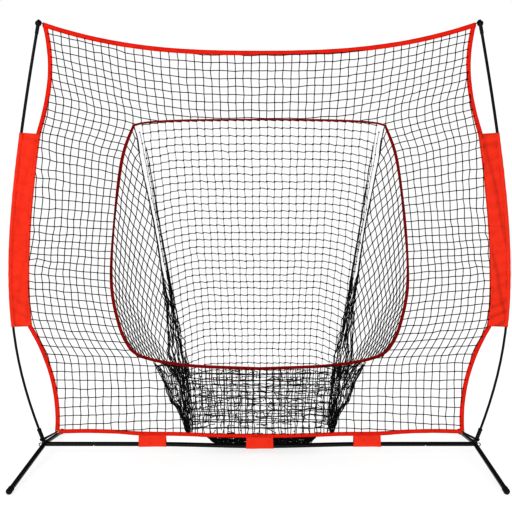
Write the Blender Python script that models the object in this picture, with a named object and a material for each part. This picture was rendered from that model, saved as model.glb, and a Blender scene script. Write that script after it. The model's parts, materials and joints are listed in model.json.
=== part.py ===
"""Pitching target net: bow poles on folding legs stretch a square net with a pocket in its strike zone.

Metres, +Z up. X runs along the width and -Y points to the pitcher. The origin is on the floor, at the
middle of the footprint. The pieces hang from an empty in the plane of the net, so Y is measured from there.
"""

import math

import bmesh
import bpy
from mathutils import Matrix, Vector

STAND = "net_plane"
SIDES = (("left", -1), ("right", 1))
GAP = 0.0003
CHAMFER = 0.001
OVERCUT = 0.010

# Base rail: a tube on each side of the middle, plugged onto the arms of the corner hubs
RAIL_Z = 0.0525
RAIL_SAG = 0.0105
RAIL_SAG_POWER = 6
RAIL_RADIUS = 0.0105
RAIL_BORE = 0.0094
RAIL_SIDES = 14
RAIL_BEND_STEP = 0.07
RAIL_BENDS = 8
ARM_JOINT_X = 0.845
SPIGOT_LENGTH = 0.070
SPIGOT_RADIUS = 0.0090
SPIGOT_BORE = 0.0080
SPIGOT_LEAD = 0.0006
COUPLER_HALF = 0.055
COUPLER_RADIUS = 0.0088
COUPLER_BORE = 0.0076

# Corner hubs
HUB_X = 1.0755
HUB_END_X = 1.0838
HUB_PLUG = 0.040
SOCKET_LENGTH = 0.082
SOCKET_RADIUS = 0.0094
SOCKET_BORE = 0.0060
SOCKET_FLOOR = 0.017
COLLAR_RADIUS = 0.0106
COLLAR_LENGTH = 0.007

# Snap button that locks a rail tube on its arm, pushed out by a leaf spring inside the arm
BUTTON_X = 0.828
BUTTON_TILT = math.radians(35)
BUTTON_RADIUS = 0.0032
BUTTON_HOLE = 0.0037
BUTTON_FOOT = 0.0004
BUTTON_SHOULDER = 0.0110
BUTTON_TOP = 0.0124
STEM_RADIUS = 0.0015
STEM_HOLE = 0.0021
FLANGE_RADIUS = 0.0042
FLANGE_LOW = 0.0052
FLANGE_HIGH = 0.0060
LEAF_THICKNESS = 0.0008
LEAF_WIDTH = 0.0070
LEAF_FRONT = 0.0016
LEAF_BACK = -0.0065
LEAF_BEND_X = -0.020
LEAF_TIP_X = 0.010

# Legs: each end is a fork that turns about an upright rivet through the hub's tongue
PIVOT_Y = 0.030
TONGUE_THICKNESS = 0.004
TONGUE_HALF = 0.008
FORK_SLOT = 0.005
FORK_BACK = 0.010
SLOT_REACH = 0.012
RIVET_RADIUS = 0.003
RIVET_HOLE = 0.0034
RIVET_HEAD = 0.0055
RIVET_RIM = 0.0006
RIVET_CROWN = 0.0024
RIVET_TAIL = 0.0048
RIVET_TAIL_HEIGHT = 0.0020
LEG_WALL = 0.0012
LEG_STOP = 0.004
FRONT_LEG = {"towards": -1, "radius": 0.0108, "foot_x": 1.0793, "reach": 0.5465}
REAR_LEG = {"towards": 1, "radius": 0.0100, "foot_x": 1.0800, "reach": 0.3550}
NET_PLANE_Y = (FRONT_LEG["reach"] - REAR_LEG["reach"]) / 2
CAP_RADIUS = 0.014
CAP_HEIGHT = 0.0125
CAP_WALL = 0.0026
CAP_LENGTH = 0.030
CAP_FLOOR = 0.002

# Bow poles: a cubic curve from the hub to the tip, in three lengths
POLE_CURVE = ((1.0755, 0.0525), (1.268, 0.568), (1.2936, 0.936), (1.0635, 2.118))
POLE_STEP = 0.07
POLE_SAMPLES = 400
POLE_SIDES = 12
POLE_START = 0.024
POLE_RADIUS = 0.0057
UPPER_RADIUS = 0.0068
POLE_BORE = 0.0060
LOWER_END = 0.735
MIDDLE_END = 1.450
UPPER_START = 1.405
FERRULE_HALF = 0.035
FERRULE_RADIUS = 0.0069
TIP_RADIUS = 0.0148
TIP_NECK = 0.0084
TIP_LENGTH = 0.050
TIP_BORE = 0.0071
TIP_FLOOR = 0.009
TIP_INSERT_END = 0.012

# Net: hems, pole sleeves, straps and the trim of the strike zone
CORNER_X = 1.0325
TOP_Z = 1.9776
TOP_RISE = 0.1315
TOP_POWER = 2.6
SLEEVE_LOW = 0.645
SLEEVE_HIGH = 1.595
SLEEVE_REACH = 0.0935
SLEEVE_RADIUS = 0.0089
TUNNEL_RADIUS = 0.0076
LOW_CORNER = (1.012, 0.116)
BOTTOM_HEM = (
    (0.0, 0.0935),
    (0.20, 0.0955),
    (0.40, 0.1030),
    (0.60, 0.1060),
    (0.72, 0.1150),
    (0.86, 0.1185),
)
HEM_TAIL = 0.0094
HEM_WIDTH = 0.021
BOTTOM_HEM_WIDTH = 0.019
CLOTH_THICKNESS = 0.003
HEM_END_GAP = 0.0025
SLEEVE_GAP = 0.006
NET_THICKNESS = 0.002
NET_MARGIN = 0.003
NET_STEPS = (8, 20, 12)
WINDOW_MARGIN = 0.0121
STRAP_CENTRE = 0.536
STRAP_WIDTH = 0.135
STRAP_RADIUS = 0.0129
STRAP_CLOTH = 0.0011
STRAP_NECK = 0.0016
STRAP_SEAM = 0.004
RIBBON_WIDTH = 0.015
RIBBON_THICKNESS = 0.002
ZONE_MIDDLE = (0, 1.05)
ZONE_TOP = ((0.611, 1.631), (0.565, 1.6425), (0.47, 1.651), (0.30, 1.6565), (0.0, 1.660))
ZONE_SIDE = (
    (0.611, 1.631),
    (0.6695, 1.464),
    (0.7154, 1.130),
    (0.7295, 0.852),
    (0.694, 0.650),
    (0.645, 0.541),
    (0.5949, 0.498),
)
ZONE_BOTTOM = ((0.5949, 0.498), (0.4914, 0.470), (0.313, 0.447), (0.0, 0.434))

# Inner control points of the side curves: how far inside the nearer end, and the height
UPPER_SIDE_PULL = ((0.044, 1.918), (0.056, 1.765))
LOWER_SIDE_PULL = ((0.100, 0.475), (0.016, 0.290))

# Shares of each side curve that the hem and the net's edge cover, counted from the top
UPPER_HEM_RUN = (0.045, 1.0)
LOWER_HEM_RUN = (0.0, 0.985)
UPPER_NET_RUN = (0.07, 0.98)
LOWER_NET_RUN = (0.04, 0.94)

# Pocket: half-widths at the mouth and at the back wall, and depth of the back wall, from top to bottom
POCKET_WALL = 0.003
POCKET_MOUTH_Y = 0.005
POCKET_SILL = 0.450
POCKET_SILL_SECTION = (0.4505, 0.515, 0.402, 0.291)
POCKET_SECTIONS = (
    (1.640, 0.596, 0.594, 0.013),
    (1.464, 0.662, 0.585, 0.060),
    (1.130, 0.708, 0.528, 0.150),
    (0.852, 0.722, 0.470, 0.228),
    (0.650, 0.684, 0.435, 0.275),
    (0.500, 0.545, 0.410, 0.292),
)
POCKET_FLOOR = (
    (0.430, 0.505, 0.400, 0.290),
    (0.200, 0.415, 0.372, 0.255),
    (0.075, 0.365, 0.350, 0.200),
    (0.045, 0.330, 0.320, 0.160),
)
POCKET_FRONT_Y = 0.032

# Cords and eyes
EYE_X = 1.0955
EYE_DROP = 0.003
EYE_RADIUS = 0.0083
EYE_WIRE = 0.0020
EYE_SHANK = 0.010
GROMMET_FLANGE = 0.0078
GROMMET_BARREL = 0.0050
GROMMET_HOLE = 0.0040
GROMMET_RIM = 0.0003
GROMMET_LIP = 0.0007
CORD_RADIUS = 0.0024
TIP_CORD_RADIUS = 0.0019
TIP_CORD_GAP = 0.0030
TIP_CORD_RISE = 0.0015
TIP_CORD_SEAT = 0.004
CORD_HEIGHT = 0.026
CORD_TURNS = (60, 310)
CORD_STEPS = 12

# The corner cord's path through its grommet: outwards, backwards and up from the eye
CORD_THROUGH_EYE = (
    (-0.0060, 0.0070, 0.0040),
    (-0.0012, 0.0050, 0.0008),
    (0.0, 0.0, 0.0),
    (0.0010, -0.0050, -0.0005),
    (0.0060, -0.0078, -0.0040),
)

FINISHES = {
    "steel": ((0.012, 0.012, 0.013), 0.32, 0.6),
    "fibreglass": ((0.010, 0.010, 0.010), 0.28, 0.0),
    "bright_steel": ((0.62, 0.60, 0.56), 0.28, 1.0),
    "rubber": ((0.015, 0.015, 0.015), 0.65, 0.0),
    "plastic": ((0.012, 0.012, 0.012), 0.45, 0.0),
    "red_cloth": ((0.85, 0.035, 0.012), 0.75, 0.0),
    "dark_ribbon": ((0.22, 0.006, 0.004), 0.70, 0.0),
    "cord": ((0.012, 0.012, 0.012), 0.80, 0.0),
    "net_twine": ((0.020, 0.020, 0.020), 0.85, 0.0),
}


# Shared modelling helpers


def finish_material(name, finish):
    colour, roughness, metallic = FINISHES[finish]
    made = bpy.data.materials.new(name + "_finish")
    made.use_nodes = True
    shader = made.node_tree.nodes["Principled BSDF"]
    shader.inputs["Base Color"].default_value = (*colour, 1.0)
    shader.inputs["Roughness"].default_value = roughness
    shader.inputs["Metallic"].default_value = metallic
    return made


def solid(name, shape, finish=None, parent=None, place=None):
    """The bmesh as an object. With no finish it is a helper: a cutter, or a shape to be joined."""
    bmesh.ops.recalc_face_normals(shape, faces=shape.faces)
    mesh = bpy.data.meshes.new(name)
    shape.to_mesh(mesh)
    shape.free()
    made = bpy.data.objects.new(name, mesh)
    bpy.context.scene.collection.objects.link(made)
    made.parent = parent or bpy.data.objects[STAND]
    if place:
        made.matrix_basis = place
    if finish:
        mesh.materials.append(finish_material(name, finish))
        mesh.shade_smooth()
        mesh.set_sharp_from_angle(angle=math.radians(40))
    else:
        made.hide_render = True
        made.display_type = "WIRE"
    return made


def empty_at(name, location, parent=None):
    made = bpy.data.objects.new(name, None)
    made.location = location
    made.parent = parent
    bpy.context.scene.collection.objects.link(made)
    return made


def combine(body, helper, operation):
    step = body.modifiers.new(operation.lower(), "BOOLEAN")
    step.operation = operation
    step.object = helper
    step.solver = "EXACT"


def circle(radius, sides):
    return [
        (radius * math.cos(math.tau * i / sides), radius * math.sin(math.tau * i / sides))
        for i in range(sides)
    ]


def rectangle(width, height):
    return [
        (-width / 2, -height / 2),
        (width / 2, -height / 2),
        (width / 2, height / 2),
        (-width / 2, height / 2),
    ]


def bridge(shape, first, second):
    count = len(first)
    for i in range(count):
        j = (i + 1) % count
        shape.faces.new((first[i], first[j], second[j], second[i]))


def loft(rings, hollow=None, closed=False):
    """A closed solid through rings of points. A second set of rings makes it a tube."""
    shape = bmesh.new()
    walls = [[[shape.verts.new(p) for p in ring] for ring in wall] for wall in (rings, hollow) if wall]
    for wall in walls:
        for first, second in zip(wall, wall[1:]):
            bridge(shape, first, second)
        if closed:
            bridge(shape, wall[-1], wall[0])
    if closed:
        return shape
    if hollow:
        bridge(shape, walls[0][0], walls[1][0])
        bridge(shape, walls[0][-1], walls[1][-1])
    else:
        shape.faces.new(walls[0][0])
        shape.faces.new(walls[0][-1])
    return shape


def rings_along(path, section, closed=False, reference=Vector((0, 1, 0))):
    """The section's first axis lies across the path and its second along the reference direction."""
    count = len(path)
    rings = []
    for i, point in enumerate(path):
        before = path[i - 1] if closed or i else path[0]
        after = path[(i + 1) % count] if closed or i < count - 1 else path[-1]
        across = reference.cross(after - before).normalized()
        upright = (after - before).cross(across).normalized()
        rings.append([point + across * u + upright * v for u, v in section])
    return rings


def tube(path, radius, bore=0.0, sides=POLE_SIDES):
    outer = rings_along(path, circle(radius, sides))
    inner = rings_along(path, circle(bore, sides)) if bore else None
    return loft(outer, inner)


def turned(profile, sides=RAIL_SIDES, closed=False):
    """A profile of (radius, height) points turned about Z. It ends on the axis or closes on itself."""
    shape = bmesh.new()
    rings = []
    for radius, height in profile:
        if radius == 0:
            rings.append([shape.verts.new((0, 0, height))])
        else:
            rings.append([shape.verts.new((x, y, height)) for x, y in circle(radius, sides)])
    pairs = list(zip(rings, rings[1:]))
    if closed:
        pairs.append((rings[-1], rings[0]))
    for first, second in pairs:
        if len(first) > 1 and len(second) > 1:
            bridge(shape, first, second)
            continue
        tip, ring = (first[0], second) if len(first) == 1 else (second[0], first)
        for i in range(sides):
            shape.faces.new((tip, ring[i], ring[(i + 1) % sides]))
    return shape


def block(low, high):
    shape = bmesh.new()
    bmesh.ops.create_cube(shape, size=1.0)
    size = Vector(high) - Vector(low)
    bmesh.ops.scale(shape, vec=size, verts=shape.verts)
    bmesh.ops.translate(shape, vec=(Vector(high) + Vector(low)) / 2, verts=shape.verts)
    return shape


def rod_cutter(name, radius, low, high, parent=None, place=None):
    profile = ((0, low), (radius, low), (radius, high), (0, high))
    return solid(name, turned(profile), parent=parent, place=place)


def pointing(direction, location):
    """A placing matrix that turns local +Z to the direction."""
    turn = Vector(direction).to_track_quat("Z", "Y").to_matrix().to_4x4()
    return Matrix.Translation(location) @ turn


def arc(centre, radius, start, end, steps):
    angles = [start + (end - start) * i / steps for i in range(steps + 1)]
    return [(centre[0] + radius * math.cos(a), centre[1] + radius * math.sin(a)) for a in angles]


def dome(radius, height, steps, base=0.0, first=0.0):
    """Profile points of a dome, from its first angle to one step short of its top."""
    angles = [first + (math.pi / 2 - first) * i / steps for i in range(steps)]
    return [(radius * math.cos(a), base + height * math.sin(a)) for a in angles]


def smooth_through(points, steps):
    """A Catmull-Rom curve through 2-D points, with this many steps between each two."""
    made = []
    last = len(points) - 1
    for i in range(last):
        around = [points[min(max(i + k, 0), last)] for k in (-1, 0, 1, 2)]
        p0, p1, p2, p3 = (Vector(p) for p in around)
        for j in range(steps):
            t = j / steps
            a = 2 * p1
            b = (p2 - p0) * t
            c = (2 * p0 - 5 * p1 + 4 * p2 - p3) * t * t
            d = (3 * p1 - p0 - 3 * p2 + p3) * t**3
            made.append((a + b + c + d) / 2)
    made.append(Vector(points[-1]))
    return made


def bezier(ends, t):
    p0, p1, p2, p3 = (Vector(p) for p in ends)
    return (1 - t) ** 3 * p0 + 3 * (1 - t) ** 2 * t * p1 + 3 * (1 - t) * t * t * p2 + t**3 * p3


def curve_points(ends, run, count):
    """Points on a cubic curve between two shares of it."""
    start, end = run
    return [bezier(ends, start + (end - start) * i / count) for i in range(count + 1)]


def in_net_plane(points, side=1, y=0.0):
    return [Vector((side * p[0], y, p[1])) for p in points]


# Curves that several pieces share


def rail_height(x):
    """The rail is level near the hubs and bows down a little in the middle."""
    t = min(abs(x) / ARM_JOINT_X, 1.0)
    return RAIL_Z - RAIL_SAG * (1 - t * t) ** RAIL_SAG_POWER


def pole_stations():
    """Points at even steps along the pole's curve, with their distances from the hub."""
    fine = curve_points(POLE_CURVE, (0, 1), POLE_SAMPLES)
    stations = [(0.0, fine[0])]
    walked = 0.0
    for before, after in zip(fine, fine[1:]):
        walked += (after - before).length
        if walked >= stations[-1][0] + POLE_STEP:
            stations.append((walked, after))
    stations.append((walked, fine[-1]))
    return stations


POLE = pole_stations()
POLE_LENGTH = POLE[-1][0]


def pole_point(distance):
    for (s0, p0), (s1, p1) in zip(POLE, POLE[1:]):
        if distance <= s1:
            return p0 + (p1 - p0) * (distance - s0) / (s1 - s0)
    return POLE[-1][1]


def pole_path(start, end, side):
    inner = [p for s, p in POLE if start < s < end]
    return in_net_plane([pole_point(start), *inner, pole_point(end)], side)


def socket_direction(side):
    """The pole socket leans outwards with the pole's first stretch."""
    run = POLE[1][1] - POLE[0][1]
    return Vector((side * run.x, 0, run.y)).normalized()


def pole_x(z):
    for (_, p0), (_, p1) in zip(POLE, POLE[1:]):
        if p0.y <= z <= p1.y:
            return p0.x + (p1.x - p0.x) * (z - p0.y) / (p1.y - p0.y)
    return POLE[-1][1].x


def top_hem_height(x):
    return TOP_Z + TOP_RISE * (abs(x) / CORNER_X) ** TOP_POWER


def upper_side_curve():
    """Centre line of the side hem from the top corner down to the sleeve."""
    foot = (pole_x(SLEEVE_HIGH) - SLEEVE_REACH + HEM_WIDTH / 2, SLEEVE_HIGH)
    near_corner, near_foot = UPPER_SIDE_PULL
    bend = (CORNER_X - near_corner[0], near_corner[1])
    return (CORNER_X, top_hem_height(CORNER_X)), bend, (foot[0] - near_foot[0], near_foot[1]), foot


def lower_side_curve():
    """Centre line of the side hem from the sleeve down to the bottom corner."""
    head = (pole_x(SLEEVE_LOW) - SLEEVE_REACH + HEM_WIDTH / 2, SLEEVE_LOW)
    near_head, near_corner = LOWER_SIDE_PULL
    bend = (head[0] - near_head[0], near_head[1])
    return head, bend, (LOW_CORNER[0] - near_corner[0], near_corner[1]), LOW_CORNER


def zone_loop(steps=3):
    """The strike zone's outline, anticlockwise seen from the pitcher, from its top left corner."""
    top = smooth_through(ZONE_TOP, steps)
    side = smooth_through(ZONE_SIDE, steps)
    bottom = smooth_through(ZONE_BOTTOM, steps)
    right = side + bottom[1:]
    right_half = [*reversed(top), *right[1:]]
    left_half = [Vector((-p.x, p.y)) for p in reversed(right_half[1:-1])]
    return right_half + left_half


# Frame


def make_rail():
    for name, side in SIDES:
        bends = [RAIL_BEND_STEP * (i + 1) for i in range(RAIL_BENDS)]
        xs = [GAP, *bends, ARM_JOINT_X - SPIGOT_LENGTH, ARM_JOINT_X - 2 * GAP]
        path = [Vector((side * x, 0, rail_height(x))) for x in xs]
        rail = solid(f"rail_tube_{name}", tube(path, RAIL_RADIUS, RAIL_BORE, RAIL_SIDES), "steel")
        combine(rail, bpy.data.objects[f"button_hole_{name}"], "DIFFERENCE")
    path = [Vector((x, 0, rail_height(x))) for x in (-COUPLER_HALF, 0, COUPLER_HALF)]
    solid("rail_coupler", tube(path, COUPLER_RADIUS, COUPLER_BORE, RAIL_SIDES), "bright_steel")


def arm_shape():
    """The hub's arm, turned about Z from its outer end. Its far end steps down to a hollow spigot."""
    step = HUB_END_X - ARM_JOINT_X
    end = step + SPIGOT_LENGTH
    profile = (
        (0, 0),
        (RAIL_RADIUS - CHAMFER, 0),
        (RAIL_RADIUS, CHAMFER),
        (RAIL_RADIUS, step - CHAMFER),
        (SPIGOT_RADIUS, step),
        (SPIGOT_RADIUS, end - 2 * CHAMFER),
        (SPIGOT_RADIUS - SPIGOT_LEAD, end),
        (SPIGOT_BORE, end),
        (SPIGOT_BORE, HUB_PLUG),
        (0, HUB_PLUG),
    )
    return turned(profile)


def tongue_shape():
    """A flat strip across the hub with a rounded end about each leg's rivet."""
    front = arc((0, -PIVOT_Y), TONGUE_HALF, math.pi, math.tau, 12)
    rear = arc((0, PIVOT_Y), TONGUE_HALF, 0, math.pi, 12)
    half = TONGUE_THICKNESS / 2
    rings = [[Vector((x, y, z)) for x, y in front + rear] for z in (-half, half)]
    return loft(rings)


def make_hub(name, side):
    centre = Vector((side * HUB_X, 0, RAIL_Z))
    inward = Vector((-side, 0, 0))
    hub = solid(
        f"corner_hub_{name}",
        arm_shape(),
        "steel",
        place=pointing(inward, (side * HUB_END_X, 0, RAIL_Z)),
    )
    lean = socket_direction(side)
    socket_profile = (
        (0, 0),
        (SOCKET_RADIUS, 0),
        (SOCKET_RADIUS, SOCKET_LENGTH - COLLAR_LENGTH - CHAMFER),
        (COLLAR_RADIUS, SOCKET_LENGTH - COLLAR_LENGTH),
        (COLLAR_RADIUS, SOCKET_LENGTH - CHAMFER),
        (COLLAR_RADIUS - CHAMFER, SOCKET_LENGTH),
        (SOCKET_BORE, SOCKET_LENGTH),
        (SOCKET_BORE, SOCKET_FLOOR),
        (0, SOCKET_FLOOR),
    )
    socket = solid(f"socket_{name}", turned(socket_profile), place=pointing(lean, centre))
    tongue = solid(f"tongue_{name}", tongue_shape(), place=Matrix.Translation(centre))
    for end, towards in (("front", -1), ("rear", 1)):
        pivot = centre + Vector((0, towards * PIVOT_Y, 0))
        place = Matrix.Translation(pivot)
        hole = rod_cutter(f"tongue_hole_{end}_{name}", RIVET_HOLE, -OVERCUT, OVERCUT, place=place)
        combine(tongue, hole, "DIFFERENCE")
    combine(hub, tongue, "UNION")
    combine(hub, socket, "UNION")
    shank_hole = rod_cutter(
        f"eye_hole_{name}",
        EYE_WIRE + GAP,
        -OVERCUT,
        EYE_SHANK + CHAMFER,
        place=pointing(inward, (side * HUB_END_X, 0, RAIL_Z - EYE_DROP)),
    )
    combine(hub, shank_hole, "DIFFERENCE")
    combine(hub, bpy.data.objects[f"button_hole_{name}"], "DIFFERENCE")


def make_stake_eye(name, side):
    """A wire ring upright in the net's plane, with a shank driven into the hub's end."""
    height = RAIL_Z - EYE_DROP
    ring = [(side * EYE_X + x, height + z) for x, z in circle(EYE_RADIUS, 18)]
    rings = rings_along(in_net_plane(ring), circle(EYE_WIRE, 6), closed=True)
    eye = solid(f"stake_eye_{name}", loft(rings, closed=True), "bright_steel")
    start = Vector((side * (EYE_X - EYE_RADIUS), 0, height))
    profile = ((0, 0), (EYE_WIRE - GAP, 0), (EYE_WIRE - GAP, EYE_SHANK), (0, EYE_SHANK))
    shank = solid(f"eye_shank_{name}", turned(profile, sides=10), place=pointing((-side, 0, 0), start))
    combine(eye, shank, "UNION")


# Snap joints


def button_frame(side):
    """Local +Z points out through the rail's lower front, and local X along the rail."""
    turn = Matrix.Rotation(math.pi / 2 + BUTTON_TILT, 4, "X")
    return Matrix.Translation((side * BUTTON_X, 0, RAIL_Z)) @ turn


def make_snap(name, side):
    frame = button_frame(side)
    rod_cutter(f"button_hole_{name}", BUTTON_HOLE, FLANGE_HIGH, BUTTON_TOP + OVERCUT, place=frame)
    profile = (
        (0, BUTTON_FOOT),
        (STEM_RADIUS, BUTTON_FOOT),
        (STEM_RADIUS, FLANGE_LOW),
        (FLANGE_RADIUS, FLANGE_LOW),
        (FLANGE_RADIUS, FLANGE_HIGH),
        (BUTTON_RADIUS, FLANGE_HIGH),
        *dome(BUTTON_RADIUS, BUTTON_TOP - BUTTON_SHOULDER, 4, base=BUTTON_SHOULDER),
        (0, BUTTON_TOP),
    )
    solid(f"snap_button_{name}", turned(profile, sides=10), "bright_steel", place=frame)

    middle = (LEAF_FRONT + LEAF_BACK) / 2
    outer_radius = (LEAF_FRONT - LEAF_BACK) / 2
    quarter = math.pi / 2
    outline = [
        (LEAF_TIP_X, LEAF_FRONT - LEAF_THICKNESS),
        (LEAF_TIP_X, LEAF_FRONT),
        *arc((LEAF_BEND_X, middle), outer_radius, quarter, 3 * quarter, 8),
        (LEAF_TIP_X, LEAF_BACK),
        (LEAF_TIP_X, LEAF_BACK + LEAF_THICKNESS),
        *arc((LEAF_BEND_X, middle), outer_radius - LEAF_THICKNESS, 3 * quarter, quarter, 8),
    ]
    half = LEAF_WIDTH / 2
    rings = [[Vector((x, y, z)) for x, z in outline] for y in (-half, half)]
    spring = solid(f"snap_spring_{name}", loft(rings), "bright_steel", place=frame)
    hole = rod_cutter(f"leaf_hole_{name}", STEM_HOLE, -LEAF_THICKNESS, FLANGE_LOW, place=frame)
    combine(spring, hole, "DIFFERENCE")


# Legs


def make_leg(kind, name, side, leg):
    towards, radius = leg["towards"], leg["radius"]
    pivot = Vector((side * HUB_X, towards * PIVOT_Y, RAIL_Z))
    foot = Vector((side * leg["foot_x"], towards * leg["reach"], CAP_HEIGHT)) - pivot
    along = foot.normalized()
    hinge = empty_at(f"{kind}_leg_hinge_{name}", pivot, bpy.data.objects[STAND])

    level = Vector((1, 0, 0))
    path = [-along * FORK_BACK, foot - along * LEG_STOP]
    outer = rings_along(path, circle(radius, RAIL_SIDES), reference=level)
    inner = rings_along(path, circle(radius - LEG_WALL, RAIL_SIDES), reference=level)
    leg_tube = solid(f"{kind}_leg_{name}", loft(outer, inner), "steel", parent=hinge)
    reach = radius + OVERCUT
    slot_ends = sorted((-towards * (FORK_BACK + OVERCUT), towards * SLOT_REACH))
    slot = block((-reach, slot_ends[0], -FORK_SLOT / 2), (reach, slot_ends[1], FORK_SLOT / 2))
    combine(leg_tube, solid(f"{kind}_slot_{name}", slot, parent=hinge), "DIFFERENCE")
    hole = rod_cutter(f"{kind}_rivet_hole_{name}", RIVET_HOLE, -reach, reach, parent=hinge)
    combine(leg_tube, hole, "DIFFERENCE")

    sleeve_radius = radius + CAP_WALL
    neck = -math.sqrt(CAP_RADIUS**2 - sleeve_radius**2)
    profile = (
        (0, -CAP_FLOOR),
        (radius + GAP, -CAP_FLOOR),
        (radius + GAP, -CAP_LENGTH),
        (sleeve_radius - CHAMFER, -CAP_LENGTH),
        (sleeve_radius, -CAP_LENGTH + CHAMFER),
        *dome(CAP_RADIUS, CAP_RADIUS, 7, first=math.atan2(neck, sleeve_radius)),
        (0, CAP_RADIUS),
    )
    cap = solid(
        f"{kind}_foot_cap_{name}", turned(profile), "rubber", parent=hinge, place=pointing(along, foot)
    )
    wide = 2 * CAP_RADIUS
    ground = Vector((foot.x, foot.y, -pivot.z))
    below = block(ground - Vector((wide, wide, wide)), ground + Vector((wide, wide, 0)))
    combine(cap, solid(f"{kind}_sole_{name}", below, parent=hinge), "DIFFERENCE")

    slope = abs(along.z / along.y)
    seat = radius * math.sqrt(1 + slope**2) + RIVET_HEAD * slope + 2 * GAP
    tail_end = -seat - RIVET_TAIL_HEIGHT
    profile = (
        (0, tail_end),
        (RIVET_TAIL - CHAMFER, tail_end),
        (RIVET_TAIL, tail_end + CHAMFER),
        (RIVET_TAIL, -seat),
        (RIVET_RADIUS, -seat),
        (RIVET_RADIUS, seat),
        (RIVET_HEAD, seat),
        *dome(RIVET_HEAD, RIVET_CROWN, 4, base=seat + RIVET_RIM),
        (0, seat + RIVET_RIM + RIVET_CROWN),
    )
    place = Matrix.Translation(pivot)
    solid(f"{kind}_leg_rivet_{name}", turned(profile, sides=10), "steel", place=place)


# Bow poles


def make_pole(name, side):
    lengths = (
        ("lower", POLE_START, LOWER_END - GAP, POLE_RADIUS, 0.0),
        ("middle", LOWER_END + GAP, MIDDLE_END, POLE_RADIUS, 0.0),
        ("upper", UPPER_START, POLE_LENGTH - TIP_INSERT_END, UPPER_RADIUS, POLE_BORE),
    )
    for part, start, end, radius, bore in lengths:
        solid(f"pole_{part}_{name}", tube(pole_path(start, end, side), radius, bore), "fibreglass")
    path = pole_path(LOWER_END - FERRULE_HALF, LOWER_END + FERRULE_HALF, side)
    solid(f"pole_ferrule_{name}", tube(path, FERRULE_RADIUS, POLE_BORE), "bright_steel")

    below, tip = (Vector((side * p.x, 0, p.y)) for p in (POLE[-2][1], POLE[-1][1]))
    rise = (tip - below).normalized()
    neck_angle = -math.acos(TIP_NECK / TIP_RADIUS)
    profile = (
        (0, -TIP_FLOOR),
        (TIP_BORE, -TIP_FLOOR),
        (TIP_BORE, -TIP_LENGTH),
        (TIP_NECK - CHAMFER / 2, -TIP_LENGTH),
        (TIP_NECK, -TIP_LENGTH + CHAMFER),
        *dome(TIP_RADIUS, TIP_RADIUS, 8, first=neck_angle),
        (0, TIP_RADIUS),
    )
    cap = solid(f"tip_cap_{name}", turned(profile), "plastic", place=pointing(rise, tip))
    start = tip + Vector((-side * (TIP_RADIUS - TIP_CORD_SEAT), 0, TIP_CORD_SEAT / 2))
    end_x = CORNER_X + HEM_WIDTH / 2 + TIP_CORD_GAP
    end = Vector((side * end_x, 0, top_hem_height(CORNER_X) + TIP_CORD_RISE))
    place = pointing(end - start, start)
    hole_radius = TIP_CORD_RADIUS + GAP
    hole = rod_cutter(f"tip_cord_hole_{name}", hole_radius, -GAP, TIP_RADIUS, place=place)
    combine(cap, hole, "DIFFERENCE")
    reach = (end - start).length
    cord_profile = ((0, GAP), (TIP_CORD_RADIUS, GAP), (TIP_CORD_RADIUS, reach), (0, reach))
    solid(f"tip_cord_{name}", turned(cord_profile, sides=8), "cord", place=place)


# Net and cloth


def band(name, points, width, thickness, finish, closed=False):
    rings = rings_along(in_net_plane(points), rectangle(width, thickness), closed=closed)
    return solid(name, loft(rings, closed=closed), finish)


def bottom_hem_points():
    half = smooth_through((*BOTTOM_HEM, LOW_CORNER), 2)
    half.append(Vector((LOW_CORNER[0] + HEM_TAIL, LOW_CORNER[1])))
    return [Vector((-p.x, p.y)) for p in reversed(half[1:])] + half


def make_hems():
    reach = CORNER_X + HEM_WIDTH / 2
    xs = [reach * (i / 12 - 1) for i in range(25)]
    band("top_hem", [Vector((x, top_hem_height(x))) for x in xs], HEM_WIDTH, CLOTH_THICKNESS, "red_cloth")
    bottom = band("bottom_hem", bottom_hem_points(), BOTTOM_HEM_WIDTH, CLOTH_THICKNESS, "red_cloth")
    for name, side in SIDES:
        eye = Vector((side * LOW_CORNER[0], 0, LOW_CORNER[1]))
        place = pointing((0, -1, 0), eye)
        hole_radius = GROMMET_BARREL + GAP
        hole = rod_cutter(f"grommet_hole_{name}", hole_radius, -OVERCUT, OVERCUT, place=place)
        combine(bottom, hole, "DIFFERENCE")
        flange = CLOTH_THICKNESS / 2 + GAP
        profile = (
            (GROMMET_HOLE, -flange - GROMMET_LIP),
            (GROMMET_FLANGE, -flange - GROMMET_RIM),
            (GROMMET_FLANGE, -flange),
            (GROMMET_BARREL, -flange),
            (GROMMET_BARREL, flange),
            (GROMMET_FLANGE, flange),
            (GROMMET_FLANGE, flange + GROMMET_RIM),
            (GROMMET_HOLE, flange + GROMMET_LIP),
        )
        solid(f"corner_grommet_{name}", turned(profile, closed=True), "bright_steel", place=place)

        upper = curve_points(upper_side_curve(), UPPER_HEM_RUN, 9)
        upper[-1].y += SLEEVE_GAP
        lower = curve_points(lower_side_curve(), LOWER_HEM_RUN, 9)
        lower[0].y -= SLEEVE_GAP
        lower[-1] = Vector((LOW_CORNER[0], LOW_CORNER[1] + BOTTOM_HEM_WIDTH / 2 + HEM_END_GAP))
        for part, points in (("upper", upper), ("lower", lower)):
            mirrored = [Vector((side * p.x, p.y)) for p in points]
            band(f"{part}_side_hem_{name}", mirrored, HEM_WIDTH, CLOTH_THICKNESS, "red_cloth")


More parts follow.
